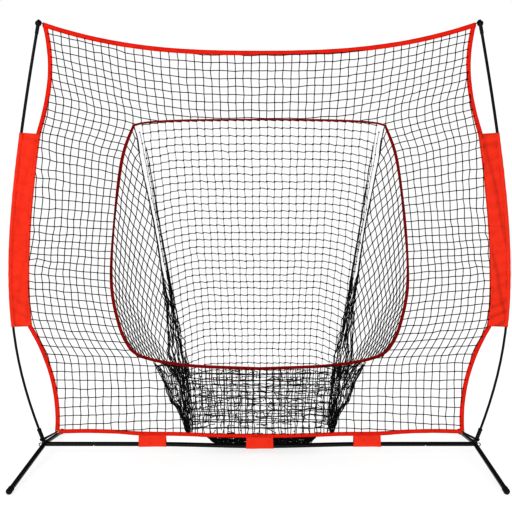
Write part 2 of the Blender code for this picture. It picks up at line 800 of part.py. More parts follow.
def make_sleeve(name, side):
    """Doubled cloth whose outer fold is a tunnel for the pole."""
    heights = [SLEEVE_LOW] + [p.y for _, p in POLE if SLEEVE_LOW < p.y < SLEEVE_HIGH] + [SLEEVE_HIGH]
    notch = math.asin(CLOTH_THICKNESS / 2 / SLEEVE_RADIUS)
    around = arc((0, 0), SLEEVE_RADIUS, math.pi - notch, notch - math.pi, 11)
    edge = [(-SLEEVE_REACH, -CLOTH_THICKNESS / 2), (-SLEEVE_REACH, CLOTH_THICKNESS / 2)]
    rings = [
        [Vector((side * (pole_x(z) + x), y, z)) for x, y in around + edge]
        for z in heights
    ]
    sleeve = solid(f"pole_sleeve_{name}", loft(rings), "red_cloth")
    run = [p for _, p in POLE if SLEEVE_LOW - 2 * POLE_STEP < p.y < SLEEVE_HIGH + 2 * POLE_STEP]
    tunnel = solid(f"tunnel_{name}", tube(in_net_plane(run, side), TUNNEL_RADIUS))
    combine(sleeve, tunnel, "DIFFERENCE")


def strap_ring(radius, apex_half, apex_z, centre_z):
    """Outline in Y and Z of cloth that hangs from the hem and goes under the rail."""
    lean = math.acos(radius / (apex_z - centre_z))
    start = math.pi / 2 - lean
    under = arc((0, centre_z), radius, start, start - 2 * (math.pi - lean), 12)
    return [(apex_half, apex_z), *under, (-apex_half, apex_z)]


def make_strap(name, centre):
    offsets = (-STRAP_WIDTH / 2, 0, STRAP_WIDTH / 2)
    low_edge = min(hem_height_at(abs(centre) + offset) for offset in offsets)
    apex = low_edge - BOTTOM_HEM_WIDTH / 2 - 3 * GAP
    middle = rail_height(centre)
    outer = strap_ring(STRAP_RADIUS, STRAP_NECK, apex, middle)
    inner = strap_ring(STRAP_RADIUS - STRAP_CLOTH, STRAP_NECK - STRAP_CLOTH, apex - STRAP_SEAM, middle)
    ends = (centre - STRAP_WIDTH / 2, centre + STRAP_WIDTH / 2)
    walls = [[[Vector((x, y, z)) for y, z in outline] for x in ends] for outline in (outer, inner)]
    solid(f"rail_strap_{name}", loft(*walls), "red_cloth")


def hem_height_at(x):
    points = bottom_hem_points()
    for before, after in zip(points, points[1:]):
        if before.x <= abs(x) <= after.x:
            return before.y + (after.y - before.y) * (abs(x) - before.x) / (after.x - before.x)
    return points[-1].y


def drawn_in(points, inset):
    """A run that goes down the right-hand side, moved square to itself towards the middle."""
    made = []
    for i, point in enumerate(points):
        run = points[min(i + 1, len(points) - 1)] - points[max(i - 1, 0)]
        made.append(point + Vector((run.y, -run.x)).normalized() * inset)
    return made


def side_boundary():
    """The net's edge beside the right-hand hems and sleeve, from the top corner to the bottom one."""
    inset = HEM_WIDTH / 2 + NET_MARGIN
    upper = curve_points(upper_side_curve(), UPPER_NET_RUN, 5)
    count = 5
    step = (SLEEVE_HIGH - SLEEVE_LOW) / count
    heights = [SLEEVE_HIGH - step * i for i in range(count + 1)]
    sleeve = [Vector((pole_x(z) - SLEEVE_REACH, z)) for z in heights]
    lower = curve_points(lower_side_curve(), LOWER_NET_RUN, 5)
    return drawn_in(upper, inset) + drawn_in(sleeve, NET_MARGIN) + drawn_in(lower, inset)


def resample(points, count):
    """Points at even distances along a run of 2-D points."""
    lengths = [0.0]
    for before, after in zip(points, points[1:]):
        lengths.append(lengths[-1] + (after - before).length)
    made = []
    for i in range(count + 1):
        target = lengths[-1] * i / count
        k = min(max(j for j, s in enumerate(lengths) if s <= target + 1e-9), len(points) - 2)
        share = (target - lengths[k]) / (lengths[k + 1] - lengths[k])
        made.append(points[k] + (points[k + 1] - points[k]) * share)
    return made


def make_front_net():
    """One flat sheet with a window for the strike zone. It stands for knotted mesh."""
    inset = HEM_WIDTH / 2 + NET_MARGIN
    side = side_boundary()
    across = side[0].x
    top = [Vector((across * i / 8, top_hem_height(across * i / 8) - inset)) for i in range(9)]
    above_hem = Vector((0, BOTTOM_HEM_WIDTH / 2 + NET_MARGIN))
    low = [p + above_hem for p in bottom_hem_points() if p.x >= 0]
    low = [p for p in low if p.x < side[-1].x] + [Vector((side[-1].x, low[-2].y))]
    zone = [smooth_through(run, 4) for run in (ZONE_TOP[::-1], ZONE_SIDE, ZONE_BOTTOM)]
    middle = Vector(ZONE_MIDDLE)
    grown = [[p + (p - middle).normalized() * WINDOW_MARGIN for p in run] for run in zone]
    outer, inner = [], []
    for border, window, count in zip((top, side, low[::-1]), grown, NET_STEPS):
        outer += resample(border, count)[:-1]
        inner += resample(window, count)[:-1]
    outer.append(low[0])
    inner.append(grown[-1][-1])
    loops = []
    for half in (outer, inner):
        loops.append(half + [Vector((-p.x, p.y)) for p in reversed(half[1:-1])])
    shape = bmesh.new()
    layers = [
        [[shape.verts.new((p.x, y, p.y)) for p in loop] for loop in loops]
        for y in (-NET_THICKNESS / 2, NET_THICKNESS / 2)
    ]
    for border, window in layers:
        bridge(shape, border, window)
    bridge(shape, layers[0][0], layers[1][0])
    bridge(shape, layers[0][1], layers[1][1])
    solid("front_net", shape, "net_twine")


def pocket_rings(inset, mouth_y, sections, front_y):
    """Four-cornered rings of the pocket, seen from above, drawn in by the inset."""
    rings = []
    for z, mouth, back, depth in sections:
        y = mouth_y if z > POCKET_SILL - inset else front_y + inset
        rings.append([
            Vector((-(mouth - inset), y, z)),
            Vector((-(back - inset), depth - inset, z)),
            Vector((back - inset, depth - inset, z)),
            Vector((mouth - inset, y, z)),
        ])
    return rings


def make_pocket():
    """A net bag that widens backwards from the trim's top edge and closes below its bottom edge."""
    sections = (*POCKET_SECTIONS, POCKET_SILL_SECTION, *POCKET_FLOOR)
    walls = loft(pocket_rings(0.0, POCKET_MOUTH_Y, sections, POCKET_FRONT_Y))
    bag = solid("pocket_net", walls, "net_twine")
    inner = [list(section) for section in sections]
    inner[0][0] -= POCKET_WALL
    inner[-1][0] += POCKET_WALL
    inside = loft(pocket_rings(POCKET_WALL, -OVERCUT, inner, POCKET_FRONT_Y))
    combine(bag, solid("pocket_hollow", inside), "DIFFERENCE")


def make_corner_cord(name, side):
    """An elastic cord through the grommet, and once round the foot of the pole socket."""
    lean = socket_direction(side)
    hub = Vector((side * HUB_X, 0, RAIL_Z))
    ring_centre = hub + lean * CORD_HEIGHT
    inward = Vector((0, 1, 0)).cross(lean) * -side
    forward = Vector((0, -1, 0))
    wrap = SOCKET_RADIUS + CORD_RADIUS + 2 * GAP
    first, last = (math.radians(turn) for turn in CORD_TURNS)
    turns = arc((0, 0), wrap, first, last, CORD_STEPS)
    loop = [ring_centre + inward * across + forward * front for across, front in turns]
    eye = Vector((side * LOW_CORNER[0], 0, LOW_CORNER[1]))
    start = [eye + Vector((side * x, y, z)) for x, y, z in CORD_THROUGH_EYE]
    rings = rings_along(start + loop, circle(CORD_RADIUS, 6), reference=Vector((0, 0.35, 1)))
    solid(f"corner_cord_{name}", loft(rings), "cord")


def clear_scene():
    for old in list(bpy.data.objects):
        bpy.data.objects.remove(old, do_unlink=True)


def build():
    clear_scene()
    empty_at(STAND, (0, NET_PLANE_Y, 0))
    for name, side in SIDES:
        make_snap(name, side)
    make_rail()
    for name, side in SIDES:
        make_hub(name, side)
        make_stake_eye(name, side)
        make_leg("front", name, side, FRONT_LEG)
        make_leg("rear", name, side, REAR_LEG)
        make_pole(name, side)
        make_sleeve(name, side)
        make_corner_cord(name, side)
    make_hems()
    for name, centre in (("left", -STRAP_CENTRE), ("centre", 0.0), ("right", STRAP_CENTRE)):
        make_strap(name, centre)
    band("pocket_ribbon", zone_loop(), RIBBON_WIDTH, RIBBON_THICKNESS, "dark_ribbon", closed=True)
    make_front_net()
    make_pocket()


build()
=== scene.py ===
"""Pitching target net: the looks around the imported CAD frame. Metres, +Z up, -Y to the pitcher."""

import json
import math

import bpy
import numpy as np
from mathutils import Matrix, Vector


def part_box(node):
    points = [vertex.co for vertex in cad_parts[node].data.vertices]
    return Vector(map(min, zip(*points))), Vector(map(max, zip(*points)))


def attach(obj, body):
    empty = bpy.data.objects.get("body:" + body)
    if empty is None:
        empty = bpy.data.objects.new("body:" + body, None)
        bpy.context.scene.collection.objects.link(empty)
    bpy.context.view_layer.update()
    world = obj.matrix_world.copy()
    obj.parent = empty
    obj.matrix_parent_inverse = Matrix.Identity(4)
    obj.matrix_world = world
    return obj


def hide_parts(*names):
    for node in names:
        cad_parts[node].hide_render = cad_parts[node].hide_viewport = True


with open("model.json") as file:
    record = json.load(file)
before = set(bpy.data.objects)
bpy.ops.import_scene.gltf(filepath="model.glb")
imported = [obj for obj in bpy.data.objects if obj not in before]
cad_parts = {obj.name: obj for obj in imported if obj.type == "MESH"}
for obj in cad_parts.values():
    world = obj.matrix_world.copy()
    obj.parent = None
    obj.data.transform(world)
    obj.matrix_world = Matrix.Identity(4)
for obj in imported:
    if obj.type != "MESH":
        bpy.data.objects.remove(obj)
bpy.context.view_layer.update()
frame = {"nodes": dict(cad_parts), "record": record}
RANDOM = np.random.default_rng(20)

SIDES = (("left", -1.0), ("right", 1.0))


def middle(node):
    low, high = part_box(node)
    return (low + high) / 2


PLANE_Y = middle("front_net").y

# The curves below are the CAD's own: the pole's bow, the hems and the outline of the strike zone
POLE_CURVE = ((1.0755, 0.0525), (1.268, 0.568), (1.2936, 0.936), (1.0635, 2.118))
CORNER_X = 1.0325
TOP_Z = 1.9776
TOP_RISE = 0.1315
TOP_POWER = 2.6
SLEEVE_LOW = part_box("pole_sleeve_right")[0].z
SLEEVE_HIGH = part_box("pole_sleeve_right")[1].z
SLEEVE_REACH = 0.0935
SLEEVE_RADIUS = 0.0089
LOW_CORNER = (1.012, 0.116)
BOTTOM_HEM = ((0.0, 0.0935), (0.20, 0.0955), (0.40, 0.1030), (0.60, 0.1060), (0.72, 0.1150), (0.86, 0.1185))
HEM_WIDTH = 0.021
BOTTOM_HEM_WIDTH = 0.019
ZONE_TOP = ((0.611, 1.631), (0.565, 1.6425), (0.47, 1.651), (0.30, 1.6565), (0.0, 1.660))
ZONE_SIDE = (
    (0.611, 1.631), (0.6695, 1.464), (0.7154, 1.130), (0.7295, 0.852), (0.694, 0.650), (0.645, 0.541),
    (0.5949, 0.498),
)
ZONE_BOTTOM = ((0.5949, 0.498), (0.4914, 0.470), (0.313, 0.447), (0.0, 0.434))
RIBBON_WIDTH = 0.015
TIP_RADIUS = 0.0148

# Knotted mesh
CELL = 0.0396
TWINE = 0.00190
KNOT = 0.0036
EDGE_STATIONS = 4
TWINE_SIDES = 5


# Curves


def smooth_through(points, steps):
    """A Catmull-Rom curve through points, with this many steps between each two."""
    points = np.asarray(points, float)
    last = len(points) - 1
    made = []
    for i in range(last):
        p0, p1, p2, p3 = (points[min(max(i + k, 0), last)] for k in (-1, 0, 1, 2))
        for j in range(steps):
            t = j / steps
            a = 2 * p1
            b = (p2 - p0) * t
            c = (2 * p0 - 5 * p1 + 4 * p2 - p3) * t * t
            d = (3 * p1 - p0 - 3 * p2 + p3) * t**3
            made.append((a + b + c + d) / 2)
    made.append(points[-1])
    return np.array(made)


def bezier(ends, t):
    p0, p1, p2, p3 = (np.asarray(p, float) for p in ends)
    t = np.asarray(t, float)[..., None]
    return (1 - t) ** 3 * p0 + 3 * (1 - t) ** 2 * t * p1 + 3 * (1 - t) * t * t * p2 + t**3 * p3


def smoothstep(low, high, value):
    t = np.clip((np.asarray(value, float) - low) / (high - low), 0, 1)
    return t * t * (3 - 2 * t)


def by_height(table):
    """A function of height that runs smoothly through (height, value) pairs, listed from high to low."""
    fine = smooth_through(table, 12)
    heights, values = fine[::-1, 0], fine[::-1, 1]
    return lambda z: np.interp(z, heights, values)


POLE = bezier(POLE_CURVE, np.linspace(0, 1, 200))


def pole_x(z):
    return np.interp(z, POLE[:, 1], POLE[:, 0])


def top_hem_height(x):
    return TOP_Z + TOP_RISE * (np.abs(x) / CORNER_X) ** TOP_POWER


HEM_CURVE = smooth_through((*BOTTOM_HEM, LOW_CORNER), 12)


def bottom_hem_height(x):
    return np.interp(np.abs(x), HEM_CURVE[:, 0], HEM_CURVE[:, 1])


def upper_side_curve(t):
    foot = (pole_x(SLEEVE_HIGH) - SLEEVE_REACH + HEM_WIDTH / 2, SLEEVE_HIGH)
    corner = (CORNER_X, top_hem_height(CORNER_X))
    return bezier((corner, (corner[0] - 0.044, 1.918), (foot[0] - 0.056, 1.765), foot), t)


def lower_side_curve(t):
    head = (pole_x(SLEEVE_LOW) - SLEEVE_REACH + HEM_WIDTH / 2, SLEEVE_LOW)
    return bezier((head, (head[0] - 0.100, 0.475), (LOW_CORNER[0] - 0.016, 0.290), LOW_CORNER), t)


def net_side():
    """The net's right-hand edge, from the top corner to the bottom one: side hem, sleeve, side hem."""
    heights = np.linspace(SLEEVE_HIGH, SLEEVE_LOW, 24)[1:-1]
    sleeve = np.column_stack((pole_x(heights) - SLEEVE_REACH + HEM_WIDTH / 2, heights))
    steps = np.linspace(0, 1, 40)
    return np.concatenate((upper_side_curve(steps), sleeve, lower_side_curve(steps)))


NET_SIDE = net_side()


def net_half_width(z):
    return np.interp(z, NET_SIDE[::-1, 1], NET_SIDE[::-1, 0])


def zone_half_loop(steps):
    """Right half of the strike zone's outline, from its top middle to its bottom middle."""
    top = smooth_through(ZONE_TOP, steps)[::-1]
    side = smooth_through(ZONE_SIDE, steps)
    bottom = smooth_through(ZONE_BOTTOM, steps)
    return np.concatenate((top, side[1:], bottom[1:]))


def mirrored(half):
    """A closed loop of a half outline that starts and ends on the middle line."""
    other = half[1:-1][::-1] * (-1, 1)
    return np.concatenate((half, other))


ZONE = mirrored(zone_half_loop(14))
ZONE_EDGE = smooth_through(ZONE_SIDE, 14)
zone_half_width = by_height([(z, x) for x, z in ZONE_SIDE])


def zone_top_height(x):
    curve = smooth_through(ZONE_TOP, 14)[::-1]
    return np.interp(np.abs(x), curve[:, 0], curve[:, 1])


def zone_bottom_height(x):
    curve = smooth_through(ZONE_BOTTOM, 14)[::-1]
    return np.interp(np.abs(x), curve[:, 0], curve[:, 1])


def inside(loop, points):
    """Even-odd test of 2-D points against a closed loop."""
    x, z = points[..., 0], points[..., 1]
    found = np.zeros(x.shape, bool)
    for (x0, z0), (x1, z1) in zip(loop, np.roll(loop, -1, axis=0)):
        if z0 == z1:
            continue
        crosses = (z0 > z) != (z1 > z)
        found ^= crosses & (x < (x1 - x0) * (z - z0) / (z1 - z0) + x0)
    return found


def ripple(points, size, seed):
    """Smooth noise from -1 to 1 at points, with bumps about this size."""
    rng = np.random.default_rng(seed)
    total = np.zeros(points.shape[:-1])
    for _ in range(7):
        direction = rng.normal(size=points.shape[-1])
        direction /= np.linalg.norm(direction)
        wave = size * rng.uniform(1.4, 3.4)
        total += np.sin(points @ direction * math.tau / wave + rng.uniform(0, math.tau))
    return total / 3.2


# Meshes


class Shape:
    """Points and faces gathered for one mesh, with two values per face corner for patterns along a strand."""

    def __init__(self):
        self.points, self.corners, self.sizes = [], [], []
        self.along, self.around = [], []
        self.count = 0
        self.shade = None

    def add(self, points, faces, along=None, around=None):
        points = np.asarray(points, float).reshape(-1, 3)
        faces = np.asarray(faces)
        self.points.append(points)
        self.corners.append((faces + self.count).ravel())
        self.sizes.append(np.full(len(faces), faces.shape[1]))
        blank = np.zeros(faces.size)
        self.along.append(blank if along is None else np.asarray(along, float).ravel())
        self.around.append(blank if around is None else np.asarray(around, float).ravel())
        self.count += len(points)

    def add_more_faces(self, faces, first):
        """Faces on points that were added before, numbered from first."""
        faces = np.asarray(faces)
        self.corners.append((faces + first).ravel())
        self.sizes.append(np.full(len(faces), faces.shape[1]))
        self.along.append(np.zeros(faces.size))
        self.around.append(np.zeros(faces.size))

    def mesh(self, name):
        points = np.concatenate(self.points).astype(np.float32)
        corners = np.concatenate(self.corners).astype(np.int32)
        sizes = np.concatenate(self.sizes)
        starts = np.concatenate(([0], np.cumsum(sizes)[:-1])).astype(np.int32)
        mesh = bpy.data.meshes.new(name)
        mesh.vertices.add(len(points))
        mesh.vertices.foreach_set("co", points.ravel())
        mesh.loops.add(len(corners))
        mesh.loops.foreach_set("vertex_index", corners)
        mesh.polygons.add(len(starts))
        mesh.polygons.foreach_set("loop_start", starts)
        mesh.polygons.foreach_set("use_smooth", np.ones(len(starts), bool))
        for key, values in (("strand_along", self.along), ("strand_around", self.around)):
            attribute = mesh.attributes.new(key, "FLOAT", "CORNER")
            attribute.data.foreach_set("value", np.concatenate(values).astype(np.float32))
        if self.shade is not None:
            attribute = mesh.attributes.new("crease_shade", "FLOAT", "POINT")
            attribute.data.foreach_set("value", self.shade.astype(np.float32))
        mesh.update(calc_edges=True)
        mesh.validate()
        return mesh


def piece(name, shape, finish, replaces=(), sharp=None, body="root"):
    mesh = shape.mesh(name)
    if sharp:
        mesh.set_sharp_from_angle(angle=math.radians(sharp))
    mesh.materials.append(finish)
    made = bpy.data.objects.new(name, mesh)
    bpy.context.scene.collection.objects.link(made)
    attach(made, body)
    if replaces:
        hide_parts(*replaces)
    return made


def unit(vectors):
    return vectors / np.maximum(np.linalg.norm(vectors, axis=-1, keepdims=True), 1e-12)


def add_tubes(shape, paths, radius, sides=TWINE_SIDES, reference=(0.13, 1.0, 0.21), closed=False):
    """Round strands along many paths at once: an array of (paths, stations, 3)."""
    paths = np.asarray(paths, float)
    count, stations, _ = paths.shape
    if closed:
        tangent = unit(np.roll(paths, -1, axis=1) - np.roll(paths, 1, axis=1))
    else:
        tangent = unit(np.gradient(paths, axis=1))
    across = unit(np.cross(np.broadcast_to(np.asarray(reference, float), paths.shape), tangent))
    upright = np.cross(tangent, across)
    radius = np.broadcast_to(radius, (count, stations))[..., None, None]
    angles = math.tau * np.arange(sides) / sides
    wheel = across[:, :, None] * np.cos(angles)[:, None] + upright[:, :, None] * np.sin(angles)[:, None]
    points = paths[:, :, None] + wheel * radius
    walked = np.linalg.norm(np.diff(paths, axis=1), axis=-1)
    walked = np.concatenate((np.zeros((count, 1)), np.cumsum(walked, axis=1)), axis=1)

    strand, station, side = np.meshgrid(
        np.arange(count), np.arange(stations if closed else stations - 1), np.arange(sides), indexing="ij"
    )
    after = (station + 1) % stations
    beside = (side + 1) % sides
    number = lambda s, t, k: (s * stations + t) * sides + k
    faces = np.stack(
        (number(strand, station, side), number(strand, station, beside), number(strand, after, beside),
         number(strand, after, side)), axis=-1,
    ).reshape(-1, 4)
    along0, along1 = walked[strand, station], walked[strand, after]
    along = np.stack((along0, along0, along1, along1), axis=-1)
    around = np.stack((side, side + 1, side + 1, side), axis=-1) / sides
    first = shape.count
    shape.add(points, faces, along, around)
    if not closed:
        ring = np.arange(sides)
        starts = (np.arange(count) * stations * sides)[:, None]
        shape.add_more_faces(starts + ring[::-1], first)
        shape.add_more_faces(starts + (stations - 1) * sides + ring, first)


KNOT_SIDES, KNOT_RINGS = 6, 3


def add_knots(shape, centres, size=KNOT, normal=(0.0, 1.0, 0.0)):
    """Lumpy knots: a squashed ball with the swellings of the twine that wraps it."""
    centres = np.asarray(centres, float).reshape(-1, 3)
    count = len(centres)
    if not count:
        return
    angles = math.tau * np.arange(KNOT_SIDES) / KNOT_SIDES
    tilt = math.pi * (np.arange(KNOT_RINGS) + 1) / (KNOT_RINGS + 1)
    wheel = np.stack(
        (np.sin(tilt)[:, None] * np.cos(angles), np.broadcast_to(np.cos(tilt)[:, None], (KNOT_RINGS, KNOT_SIDES)),
         np.sin(tilt)[:, None] * np.sin(angles)), axis=-1,
    ).reshape(-1, 3)
    ball = np.concatenate(([[0.0, 1.0, 0.0]], wheel, [[0.0, -1.0, 0.0]]))
    phase = RANDOM.uniform(0, math.tau, count)
    lobes = 1 + 0.22 * np.cos(2 * np.arctan2(ball[:, 2], ball[:, 0])[None] + phase[:, None] * 0.25 + 0.8)
    scale = size * RANDOM.uniform(0.86, 1.12, (count, 1, 1)) * (1.0, 0.78, 0.92)
    jitter = RANDOM.normal(0, size * 0.05, (count, len(ball), 3))
    points = centres[:, None] + ball[None] * lobes[..., None] * scale + jitter
    quads, ends = [], []
    for ring in range(KNOT_RINGS - 1):
        for k in range(KNOT_SIDES):
            a, b = 1 + ring * KNOT_SIDES + k, 1 + ring * KNOT_SIDES + (k + 1) % KNOT_SIDES
            quads.append((a, b, b + KNOT_SIDES, a + KNOT_SIDES))
    low = 1 + (KNOT_RINGS - 1) * KNOT_SIDES
    for k in range(KNOT_SIDES):
        ends.append((0, 1 + (k + 1) % KNOT_SIDES, 1 + k))
        ends.append((len(ball) - 1, low + k, low + (k + 1) % KNOT_SIDES))
    steps = (np.arange(count) * len(ball))[:, None, None]
    first = shape.count
    shape.add(points, (steps + np.array(quads)[None]).reshape(-1, 4))
    shape.add_more_faces((steps + np.array(ends)[None]).reshape(-1, 3), first)


def edge_paths(starts, ends, sag=0.0, wander=0.0006, stations=EDGE_STATIONS):
    """Slightly slack strands from knot to knot."""
    starts, ends = np.asarray(starts, float), np.asarray(ends, float)
    t = np.linspace(0, 1, stations)[None, :, None]
    paths = starts[:, None] + (ends - starts)[:, None] * t
    hump = 4 * t * (1 - t)
    paths[..., 2] -= (hump * np.broadcast_to(sag, (len(starts),))[:, None, None])[..., 0]
    return paths + hump * RANDOM.normal(0, wander, (len(starts), 1, 3))


def add_edges(shape, starts, ends, radius=TWINE, **options):
    if len(starts):
        add_tubes(shape, edge_paths(starts, ends, **options), radius)


def add_mesh_sheet(shape, grid, keep=None, knots=True, radius=TWINE, row_sag=0.0, size=KNOT, stations=EDGE_STATIONS):
    """Knotted mesh over a grid of points (rows, columns, 3). keep marks the knots that exist."""
    keep = np.ones(grid.shape[:2], bool) if keep is None else keep
    rows = keep[:, :-1] & keep[:, 1:]
    columns = keep[:-1] & keep[1:]
    add_edges(shape, grid[:, :-1][rows], grid[:, 1:][rows], radius, sag=row_sag, stations=stations)
    add_edges(shape, grid[:-1][columns], grid[1:][columns], radius, stations=stations)
    if knots:
        add_knots(shape, grid[keep], size)


def add_sheet(shape, grid, thickness, shade=None):
    """Cloth over a grid of points (rows, columns, 3), with a real thickness and closed rims."""
    rows, columns, _ = grid.shape
    du, dv = np.gradient(grid, axis=0), np.gradient(grid, axis=1)
    normal = unit(np.cross(du, dv))
    half = np.broadcast_to(thickness, (rows, columns))[..., None] / 2
    points = np.concatenate(((grid + normal * half).reshape(-1, 3), (grid - normal * half).reshape(-1, 3)))
    i, j = np.meshgrid(np.arange(rows - 1), np.arange(columns - 1), indexing="ij")
    a = (i * columns + j).ravel()
    quads = np.stack((a, a + columns, a + columns + 1, a + 1), axis=-1)
    offset = rows * columns
    rim = np.concatenate((
        np.arange(columns),
        np.arange(1, rows) * columns + columns - 1,
        (rows - 1) * columns + np.arange(columns - 2, -1, -1),
        np.arange(rows - 2, 0, -1) * columns,
    ))
    nxt = np.roll(rim, -1)
    rims = np.stack((rim, nxt, nxt + offset, rim + offset), axis=-1)
    first = shape.count
    walked = np.concatenate(([0], np.cumsum(np.linalg.norm(np.diff(grid[:, columns // 2], axis=0), axis=-1))))
    across = np.concatenate(([0], np.cumsum(np.linalg.norm(np.diff(grid[rows // 2], axis=0), axis=-1))))
    u = np.stack((walked[i], walked[i + 1], walked[i + 1], walked[i]), axis=-1).reshape(-1, 4)
    v = np.stack((across[j], across[j], across[j + 1], across[j + 1]), axis=-1).reshape(-1, 4)
    shape.add(points, quads, u, v)
    if shade is not None:
        shape.shade = np.concatenate((shade.ravel(), shade.ravel()))
    back = quads[:, ::-1] + offset
    shape.corners.append((back + first).ravel())
    shape.sizes.append(np.full(len(back), 4))
    shape.along.append(u[:, ::-1].ravel())
    shape.around.append(v[:, ::-1].ravel())
    shape.add_more_faces(rims[:, ::-1], first)


def add_stitches(shape, path, normals, pitch=0.0052, length=0.0038, radius=0.00055, lift=0.0):
    """Short threads that dip into the cloth, along a path of points with its surface normals."""
    path, normals = np.asarray(path, float), unit(np.asarray(normals, float))
    steps = np.concatenate(([0], np.cumsum(np.linalg.norm(np.diff(path, axis=0), axis=-1))))
    count = int(steps[-1] / pitch)
    starts = (np.arange(count) + 0.5) * steps[-1] / count
    at = lambda s: np.stack([np.interp(s, steps, path[:, k]) for k in range(3)], axis=-1)
    out = unit(np.stack([np.interp(starts, steps, normals[:, k]) for k in range(3)], axis=-1))
    first, last = at(starts - length / 2), at(starts + length / 2)
    centre = at(starts) + out * (lift + radius * 0.8)
    paths = np.stack((first + out * (lift - radius), centre, last + out * (lift - radius)), axis=1)
    reach = np.broadcast_to(np.array((0.55, 1.0, 0.55)) * radius, (count, 3))
    add_tubes(shape, paths, reach, sides=4, reference=(0.31, 0.52, 0.83))


# Finishes


class Finish:
    """A Principled material whose colour, roughness and relief come from nodes."""

    def __init__(self, name):
        self.material = bpy.data.materials.new(name)
        self.material.use_nodes = True
        self.tree = self.material.node_tree
        self.shader = self.tree.nodes["Principled BSDF"]
        self.place = self.node("ShaderNodeTexCoord").outputs["Object"]

    def node(self, kind, settings=None, **inputs):
        made = self.tree.nodes.new(kind)
        for key, value in (settings or {}).items():
            setattr(made, key, value)
        for key, value in inputs.items():
            self.feed(made.inputs[key.replace("_", " ")], value)
        return made

    def feed(self, socket, value):
        if isinstance(value, bpy.types.NodeSocket):
            self.tree.links.new(value, socket)
        else:
            socket.default_value = value

    def noise(self, scale, detail=3.0, roughness=0.55, vector=None):
        vector = vector or self.place
        return self.node("ShaderNodeTexNoise", Vector=vector, Scale=scale, Detail=detail, Roughness=roughness).outputs["Fac"]

    def math(self, operation, first, second=0.0, clamp=False):
        made = self.tree.nodes.new("ShaderNodeMath")
        made.operation = operation
        made.use_clamp = clamp
        self.feed(made.inputs[0], first)
        self.feed(made.inputs[1], second)
        return made.outputs[0]

    def ramp(self, value, stops):
        made = self.tree.nodes.new("ShaderNodeValToRGB")
        self.feed(made.inputs["Fac"], value)
        ramp = made.color_ramp
        while len(ramp.elements) < len(stops):
            ramp.elements.new(0.5)
        for element, (position, colour) in zip(ramp.elements, stops):
            element.position = position
            element.color = (*colour, 1.0)
        return made.outputs["Color"]

    def span(self, value, low, high):
        made = self.tree.nodes.new("ShaderNodeMapRange")
        self.feed(made.inputs["Value"], value)
        made.inputs["To Min"].default_value = low
        made.inputs["To Max"].default_value = high
        return made.outputs["Result"]

    def blend(self, share, first, second):
        made = self.tree.nodes.new("ShaderNodeMix")
        made.data_type = "RGBA"
        self.feed(made.inputs["Factor"], share)
        for socket, value in ((made.inputs[6], first), (made.inputs[7], second)):
            self.feed(socket, (*value, 1.0) if isinstance(value, tuple) else value)
        return made.outputs[2]

    def bands(self, axis, period, vector=None):
        """Fine parallel lines across an axis, this far apart."""
        scale = math.tau / (20 * period)
        settings = {"wave_type": "BANDS", "bands_direction": axis}
        made = self.node("ShaderNodeTexWave", settings, Vector=vector or self.place, Scale=scale)
        return made.outputs["Fac"]

    def strand(self, key):
        return self.node("ShaderNodeAttribute", {"attribute_name": key}).outputs["Fac"]

    def relief(self, height, distance, strength=1.0):
        made = self.node("ShaderNodeBump", Height=height, Distance=distance, Strength=strength)
        self.tree.links.new(made.outputs["Normal"], self.shader.inputs["Normal"])

    def use(self, colour, roughness, metallic=0.0, specular=0.5, **extra):
        self.feed(self.shader.inputs["Base Color"], colour)
        self.feed(self.shader.inputs["Roughness"], roughness)
        self.feed(self.shader.inputs["Metallic"], metallic)
        self.feed(self.shader.inputs["Specular IOR Level"], specular)
        for key, value in extra.items():
            self.feed(self.shader.inputs[key.replace("_", " ")], value)
        return self.material


def woven(name, bright, deep, thread, relief, dirt=(0.30, 0.02, 0.01)):
    """Plain-weave cloth: fine crossing threads, a mottled dye and a soft sheen. Its shade value darkens creases."""
    finish = Finish(name)
    weave = finish.math("MULTIPLY", finish.bands("X", thread), finish.bands("Z", thread))
    mottle = finish.noise(26.0, 5.0, 0.62)
    fine = finish.noise(420.0, 2.0)
    tone = finish.math("ADD", finish.math("MULTIPLY", mottle, 0.62), finish.math("MULTIPLY", fine, 0.38))
    colour = finish.ramp(tone, ((0.30, deep), (0.52, bright), (0.80, tuple(min(1.0, c * 1.06) for c in bright))))
    colour = finish.blend(finish.math("MULTIPLY", weave, 0.16), colour, deep)
    grime = finish.math("MULTIPLY", finish.ramp(finish.noise(7.0, 6.0), ((0.60, (0, 0, 0)), (0.85, (1, 1, 1)))), 0.10)
    colour = finish.blend(grime, colour, dirt)
    colour = finish.blend(finish.strand("crease_shade"), colour, tuple(0.42 * c for c in deep))
    finish.relief(finish.math("ADD", weave, finish.math("MULTIPLY", mottle, 2.2)), relief)
    return finish.use(colour, finish.span(mottle, 0.62, 0.86), specular=0.12, Sheen_Weight=0.03, Sheen_Roughness=0.5)


def twisted(name, dark, light, pitch, plies, relief, roughness=(0.6, 0.85)):
    """Twine or cord: plies wound round the strand, lighter on their crests and darker in the grooves between them as
    painted highlight and shade.
    """
    finish = Finish(name)
    turns = finish.math("MULTIPLY", finish.strand("strand_along"), 1.0 / pitch)
    phase = finish.math("MULTIPLY", finish.math("ADD", turns, finish.math("MULTIPLY", finish.strand("strand_around"), plies)), math.tau)
    ply = finish.span(finish.math("SINE", phase), 0.0, 1.0)
    ply = finish.math("MULTIPLY", finish.math("ADD", finish.math("SINE", phase), 1.0), 0.5)
    fibre = finish.noise(900.0, 3.0)
    tone = finish.math("MULTIPLY", ply, fibre)
    # lighter on each ply's crest, darker in the grooves: painted highlight and shade
    colour = finish.blend(finish.math("MULTIPLY", tone, 1.3, clamp=True), dark, light)
    patch = finish.noise(18.0, 3.0)
    colour = finish.blend(finish.math("MULTIPLY", patch, 0.35), colour, dark)
    finish.relief(ply, relief)
    return finish.use(colour, finish.span(fibre, *roughness), specular=0.2)


